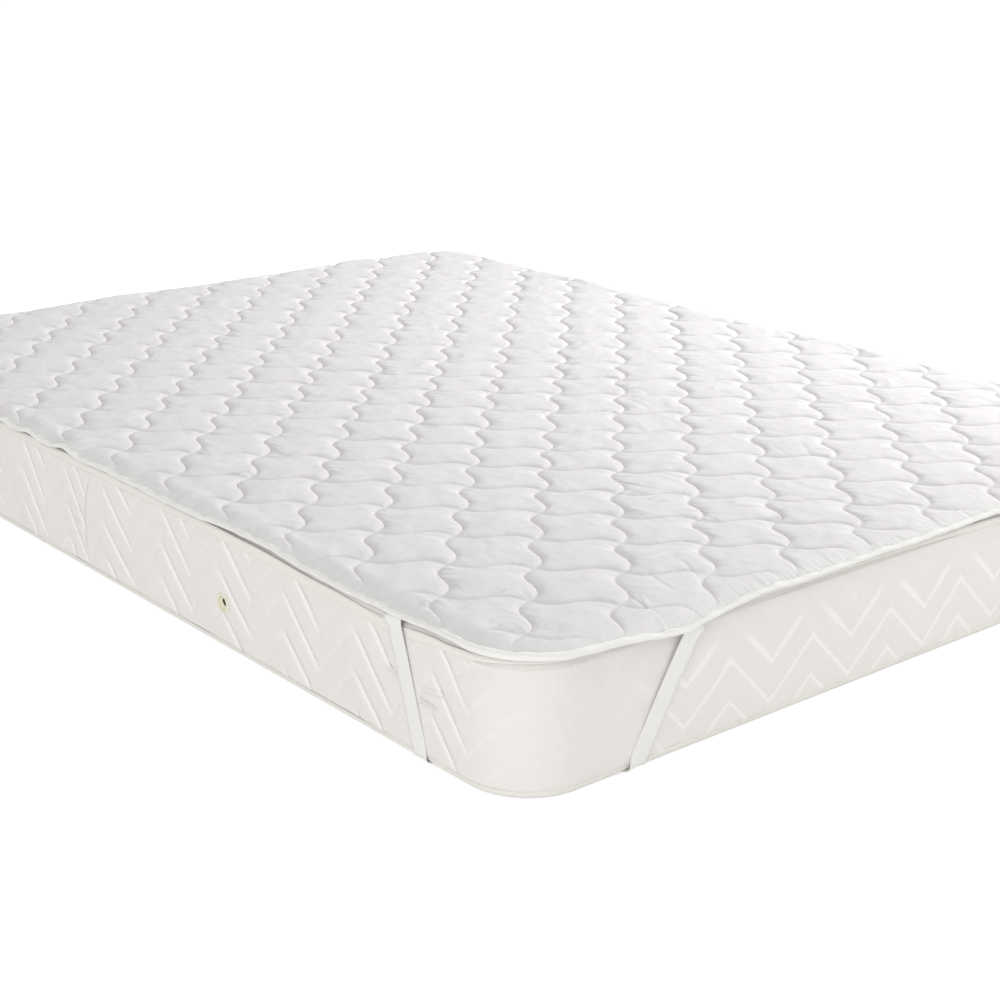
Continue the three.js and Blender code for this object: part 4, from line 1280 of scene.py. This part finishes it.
def band_path(corner):
    """A band's whole path: points, outward normals, and which of them lie under the mattress."""
    (long, long_in), (short, short_in) = band_side(corner, True), band_side(corner, False)
    start, end = long[-1][0], short[-1][0]
    turn = BAND["turn"]
    under = bezier(start, start + long_in * turn, end + short_in * turn, end, UNDER_POINTS)
    down = np.array([0, 0, -1.0])
    rows = long + [(point, down) for point in under[1:-1]] + short[::-1]
    return np.array([row[0] for row in rows]), np.array([row[1] for row in rows]), under


BAND_PATHS = {name: band_path(corner) for name, corner in CORNERS.items()}
for name, (path, _, _) in BAND_PATHS.items():
    print(name, f"band {np.linalg.norm(np.diff(path, axis=0), axis=1).sum():.3f} m")


# %% Build the mattress
UNDER_STEPS = 12
UNDER_REACH = 200 * MM
ROW_LOW, ROW_HIGH = 9 * MM, 158 * MM
ROW_STEP, COLUMN_STEP = 3 * MM, 4 * MM
COARSE = 4
SUNK = [(-3.3, 0), (-0.8, 0), (-0.55, 4.5), (-0.2, 4.5), (-0.1, 1), (0, 0), (3.3, 0)]
HOLLOW = {"deep": 1.8 * MM, "full": 24 * MM, "none": 60 * MM}


def hollow_for_bands(points):
    """How far the soft underside gives way above each band."""
    away = np.full(len(points), 1.0)
    for _, _, under in BAND_PATHS.values():
        for here, there in zip(under[:-1], under[1:]):
            step = (there - here)[:2]
            share = np.clip(((points[:, :2] - here[:2]) @ step) / (step @ step), 0, 1)
            off = points[:, :2] - here[:2] - share[:, None] * step
            away = np.minimum(away, np.linalg.norm(off, axis=1))
    return HOLLOW["deep"] * (1 - smooth_step(away, HOLLOW["full"], HOLLOW["none"]))


def side_ring(distance, inset, height):
    """A ring at the walk's distances that stands in from the side by the inset."""
    size = {key: SIDE[key] - inset for key in ("half_width", "half_length")}
    place, _ = walk(distance, **size, radius=max(SIDE["radius"] - inset, 14 * MM), base=SIDE)
    return np.column_stack([place, np.broadcast_to(height, len(place))])


def edge_rings(distance, radius, high):
    """Rings that round off the top or the bottom edge of the block. The top is sunk where its tape is low."""
    rings = []
    _, out = walk(distance, **SIDE)
    sunk = eased(signed(distance, SIDE_LENGTH), SUNK)[:, None] * MM if high else 0
    for t in np.radians([0, 30, 60, 90]):
        inset, drop = radius * (1 - math.cos(t)), radius * (1 - math.sin(t))
        rings.append(side_ring(distance, inset, TOP - drop if high else drop))
        rings[-1][:, :2] -= out * sunk * math.sin(t)
    return rings


def mattress():
    columns = round(SIDE_LENGTH / COLUMN_STEP / COARSE) * COARSE
    distance = np.arange(columns) * SIDE_LENGTH / columns
    place, out = walk(distance, **SIDE)
    heights = np.linspace(ROW_LOW, ROW_HIGH, round((ROW_HIGH - ROW_LOW) / ROW_STEP) + 1)
    rings, numbers, styles, borders, shares, sewn = [], [], [], [], [], []
    for height in heights:
        flat = place + out * border_out(place, distance, height)[:, None]
        rings.append(np.column_stack([flat, np.full(columns, height)]))
        numbers.append(np.stack(zigzag_numbers(distance, height), -1))
        styles.append(np.stack(zigzag_style(distance, height), -1))
        borders.append(np.stack([signed(distance, SIDE_LENGTH), np.full(columns, height)], -1))
        shares.append(pattern_share(distance, height))
        sewn.append(sewn_share(distance, height) * corner_fade(distance))
    points, faces = np.concatenate(rings), grid_faces(len(heights), columns, wrap_columns=True)
    few = distance[::COARSE]
    low_rings = edge_rings(few, TAPE["low_edge"], False)
    insets = np.linspace(TAPE["low_edge"], UNDER_REACH, UNDER_STEPS)[1:]
    low_rings += [side_ring(few, inset, 0) for inset in insets]
    for ring in low_rings:
        ring[:, 2] += hollow_for_bands(ring) * (ring[:, 2] < 3 * MM)
    high_rings = edge_rings(few, TAPE["top_edge"], True)
    count = len(few)
    top_row = (len(heights) - 1) * columns
    for fine_start, coarse_rings, turned in ((0, low_rings, True), (top_row, high_rings, False)):
        start = len(points)
        points = np.concatenate([points, *coarse_rings])
        joins = []
        for k in range(count):
            fine = [fine_start + (k * COARSE + step) % columns for step in range(COARSE + 1)]
            joins.append(fine + [start + (k + 1) % count, start + k])
        joins += grid_faces(len(coarse_rings), count, wrap_columns=True, start=start)
        joins.append([start + (len(coarse_rings) - 1) * count + k for k in range(count)])
        faces += [face[::-1] for face in joins] if turned else joins
    piece = new_piece("mattress_cover", points, faces, TICKING, ["mattress_body"])
    extra = len(points) - len(heights) * columns
    for name, rows in (("zigzag", numbers), ("zigzag_style", styles), ("border", borders)):
        store_uv(piece, name, np.concatenate([*rows, np.ones((extra, 2))]))
    for name, rows in (("pattern_share", shares), ("sewn_share", sewn)):
        store_share(piece, name, np.concatenate([*rows, np.zeros(extra)]))
    return piece


mattress()

# %% [markdown]
# ## Edge tapes
# A ribbed tape covers the seam at the top and at the bottom of the border. A curve with a bevel could carry
# it, but its height changes along the way. So it is a thin roll swept in steps along the seam, which wanders
# up and down a little, and it leans over where it climbs the rounded top edge.

# %% Sweep the tapes
def tape_section():
    """Half of a flat roll as (out, up), of height 1 to each side and reach 1, closed along its back."""
    turn = np.linspace(-math.pi / 2, math.pi / 2, 11)
    curve = [(math.cos(t) ** 0.7, math.sin(t)) for t in turn]
    return np.array(curve + [(0, 0.4), (0, -0.4)])


def edge_tape(name, top, node):
    count = round(SIDE_LENGTH / TAPE["spacing"])
    distance = np.arange(count) * SIDE_LENGTH / count
    place, out = walk(distance, **SIDE)
    centre, half = tape_run(distance, top)
    radius = TAPE["top_edge" if top else "low_edge"]
    past = centre - (TOP - radius) if top else radius - centre
    lean = np.arcsin(np.clip(past / radius, 0, 1))
    inset = radius * (1 - np.cos(lean))
    section = tape_section()
    stand = TAPE["reach"] if top else TAPE["low_stand"] * TAPE["reach"]
    reach, rise = section[None, :, 0] * stand + GAP, section[None, :, 1] * half[:, None]
    sine, cosine = np.sin(lean)[:, None] * (1 if top else -1), np.cos(lean)[:, None]
    across = reach * cosine - rise * sine - inset[:, None]
    up = centre[:, None] + rise * cosine + reach * sine
    up = np.maximum(up, TAPE["off_floor"])
    flat = place[:, None] + out[:, None] * across[..., None]
    points = np.concatenate([flat, up[..., None]], -1).reshape(-1, 3)
    faces = grid_faces(count, len(section), True, True)
    piece = new_piece(name, points, faces, EDGE_TAPE, [node])
    slanted = distance[:, None] + TAPE["rib_slant"] * rise
    weave = np.stack(np.broadcast_arrays(slanted, rise), -1).reshape(-1, 2)
    store_uv(piece, "weave", weave, SIDE_LENGTH)
    return piece


edge_tape("top_edge_tape", True, "mattress_top_tape")
edge_tape("bottom_edge_tape", False, "mattress_bottom_tape")

# %% [markdown]
# ## Elastic bands
# Each is flat knitted elastic, sewn under the binding on one side, drawn under the corner and up the next
# side. It is taut, so it runs nearly straight from the rim to the foot. A Blender curve could carry it, but
# its strip may twist on the way under. So a smooth curve is drawn through the points of the path together
# with the way that the strip faces at each, and a thin strip follows both.

# %% Sweep the bands
def through(points, count):
    """A smooth curve through points, with its samples spread by distance."""
    padded = np.concatenate([2 * points[:1] - points[1:2], points, 2 * points[-1:] - points[-2:-1]])
    dense = []
    for k in range(1, len(padded) - 2):
        p0, p1, p2, p3 = padded[k - 1:k + 3]
        pairs = ((p0, p1), (p1, p2), (p2, p3))
        d1, d2, d3 = (max(np.linalg.norm(q[:3] - p[:3]), 1e-6) ** 0.5 for p, q in pairs)
        m1 = p2 - p1 + d2 * ((p1 - p0) / d1 - (p2 - p0) / (d1 + d2))
        m2 = p2 - p1 + d2 * ((p3 - p2) / d3 - (p3 - p1) / (d2 + d3))
        t = np.linspace(0, 1, 12, endpoint=False)[:, None]
        dense.append((2 * t ** 3 - 3 * t ** 2 + 1) * p1 + (t ** 3 - 2 * t ** 2 + t) * m1
                     + (3 * t ** 2 - 2 * t ** 3) * p2 + (t ** 3 - t ** 2) * m2)
    dense = np.concatenate([*dense, points[-1:]])
    along = np.concatenate([[0], np.cumsum(np.linalg.norm(np.diff(dense[:, :3], axis=0), axis=1))])
    even = np.linspace(0, along[-1], count)
    return np.stack([np.interp(even, along, column) for column in dense.T], -1), even


def elastic_band(name):
    path, normal, _ = BAND_PATHS[name]
    length = np.linalg.norm(np.diff(path, axis=0), axis=1).sum()
    line, along = through(np.column_stack([path, normal]), round(length / (3 * MM)))
    line, face = line[:, :3], line[:, 3:]
    ahead = np.gradient(line, axis=0)
    ahead /= np.linalg.norm(ahead, axis=1)[:, None]
    across = np.cross(face, ahead)
    across /= np.linalg.norm(across, axis=1)[:, None]
    face = np.cross(ahead, across)
    half, thick = BAND["width"] / 2, BAND["thick"] / 2
    side = np.linspace(-1, 1, 9)
    section = [(s * half, thick * (1 - 0.5 * abs(s) ** 6)) for s in side]
    section += [(s * half, -thick * (1 - 0.5 * abs(s) ** 6)) for s in side[::-1]]
    section = np.array(section)
    sideways, outward = across[:, None] * section[None, :, 0:1], face[:, None] * section[None, :, 1:2]
    points = line[:, None] + sideways + outward
    count = len(section)
    faces = grid_faces(len(line), count, wrap_columns=True)
    faces += [list(range(count))[::-1], [(len(line) - 1) * count + k for k in range(count)]]
    piece = new_piece("elastic_" + name, points.reshape(-1, 3), faces, ELASTIC,
                      ["corner_band_" + name])
    weave = np.stack(np.broadcast_arrays(section[None, :, 0], along[:, None]), -1).reshape(-1, 2)
    store_uv(piece, "weave", weave)
    return piece


for name in CORNERS:
    elastic_band(name)

# %% [markdown]
# ## Air vent
# A small moulded ring lets air out of the mattress: a rounded lip, a dished inside and three slots in the
# dish. It could be cut from a solid block. Turning one profile round its middle is simpler and keeps the lip
# smooth. Each slot is a thin dark bar set just off the floor of the dish, a little above its middle: painted
# shade for the dark inside of the slot.

# %% Turn the ring
VENT_STEPS = 48
VENT_PROFILE = [(-0.3, -3.4), (0.0, 0.0), (-0.2, 0.9), (-1.2, 1.6), (-2.4, 1.8), (-3.4, 1.5), (-3.9, 0.7),
                (-4.2, -0.4), (-4.6, -2.6), (-9.0, -3.4), (-13.4, -3.6), (-13.4, -4.2)]
SLOTS = [(-4.4, 4.8), (-0.5, 6.0), (3.4, 5.2)]
SLOT = {"width": 3.6 * MM, "turn": math.radians(35), "front": 2.4 * MM, "thick": 0.6 * MM, "up": 3.2 * MM}
VENT_FACE = VENT_LOW.x + 1.8 * MM


def air_vent():
    turn = np.arange(VENT_STEPS) * 2 * math.pi / VENT_STEPS
    radius, depth = np.array(VENT_PROFILE).T * MM
    radius = np.maximum(radius + VENT_RADIUS, 0.4 * MM)
    points = np.stack(np.broadcast_arrays(
        VENT_FACE - depth[:, None],
        VENT_MIDDLE.y + radius[:, None] * np.cos(turn),
        VENT_MIDDLE.z + radius[:, None] * np.sin(turn)), -1).reshape(-1, 3)
    faces = grid_faces(len(depth), VENT_STEPS, True, True)
    return new_piece("air_vent_ring", points, faces, VENT_PLASTIC, ["mattress_air_vent"])


def vent_slot_shade():
    """Three slots beside each other in the dish, as thin dark bars set just off its floor: painted shade."""
    bar = np.array([(x, side, end) for x in (0, 1) for side in (-1, 1) for end in (-1, 1)], float)
    sides = [(0, 1, 3, 2), (4, 6, 7, 5), (0, 4, 5, 1), (2, 3, 7, 6), (0, 2, 6, 4), (1, 5, 7, 3)]
    cosine, sine = math.cos(SLOT["turn"]), math.sin(SLOT["turn"])
    points, faces = [], []
    for shift, half_length in SLOTS:
        across = shift * MM + bar[:, 1] * SLOT["width"] / 2
        along = SLOT["up"] + bar[:, 2] * half_length * MM
        y, z = across * cosine - along * sine, across * sine + along * cosine
        faces += [tuple(len(points) + k for k in side) for side in sides]
        x = VENT_FACE + SLOT["front"] + bar[:, 0] * SLOT["thick"]
        points += np.stack([x, VENT_MIDDLE.y + y, VENT_MIDDLE.z + z], -1).tolist()
    return new_piece("air_vent_slot_shade", points, faces, VENT_SHADE)


air_vent()
vent_slot_shade()

# %% Print the CAD box
print("cad box   ", [round(v, 4) for corner in CAD_BOX for v in corner])
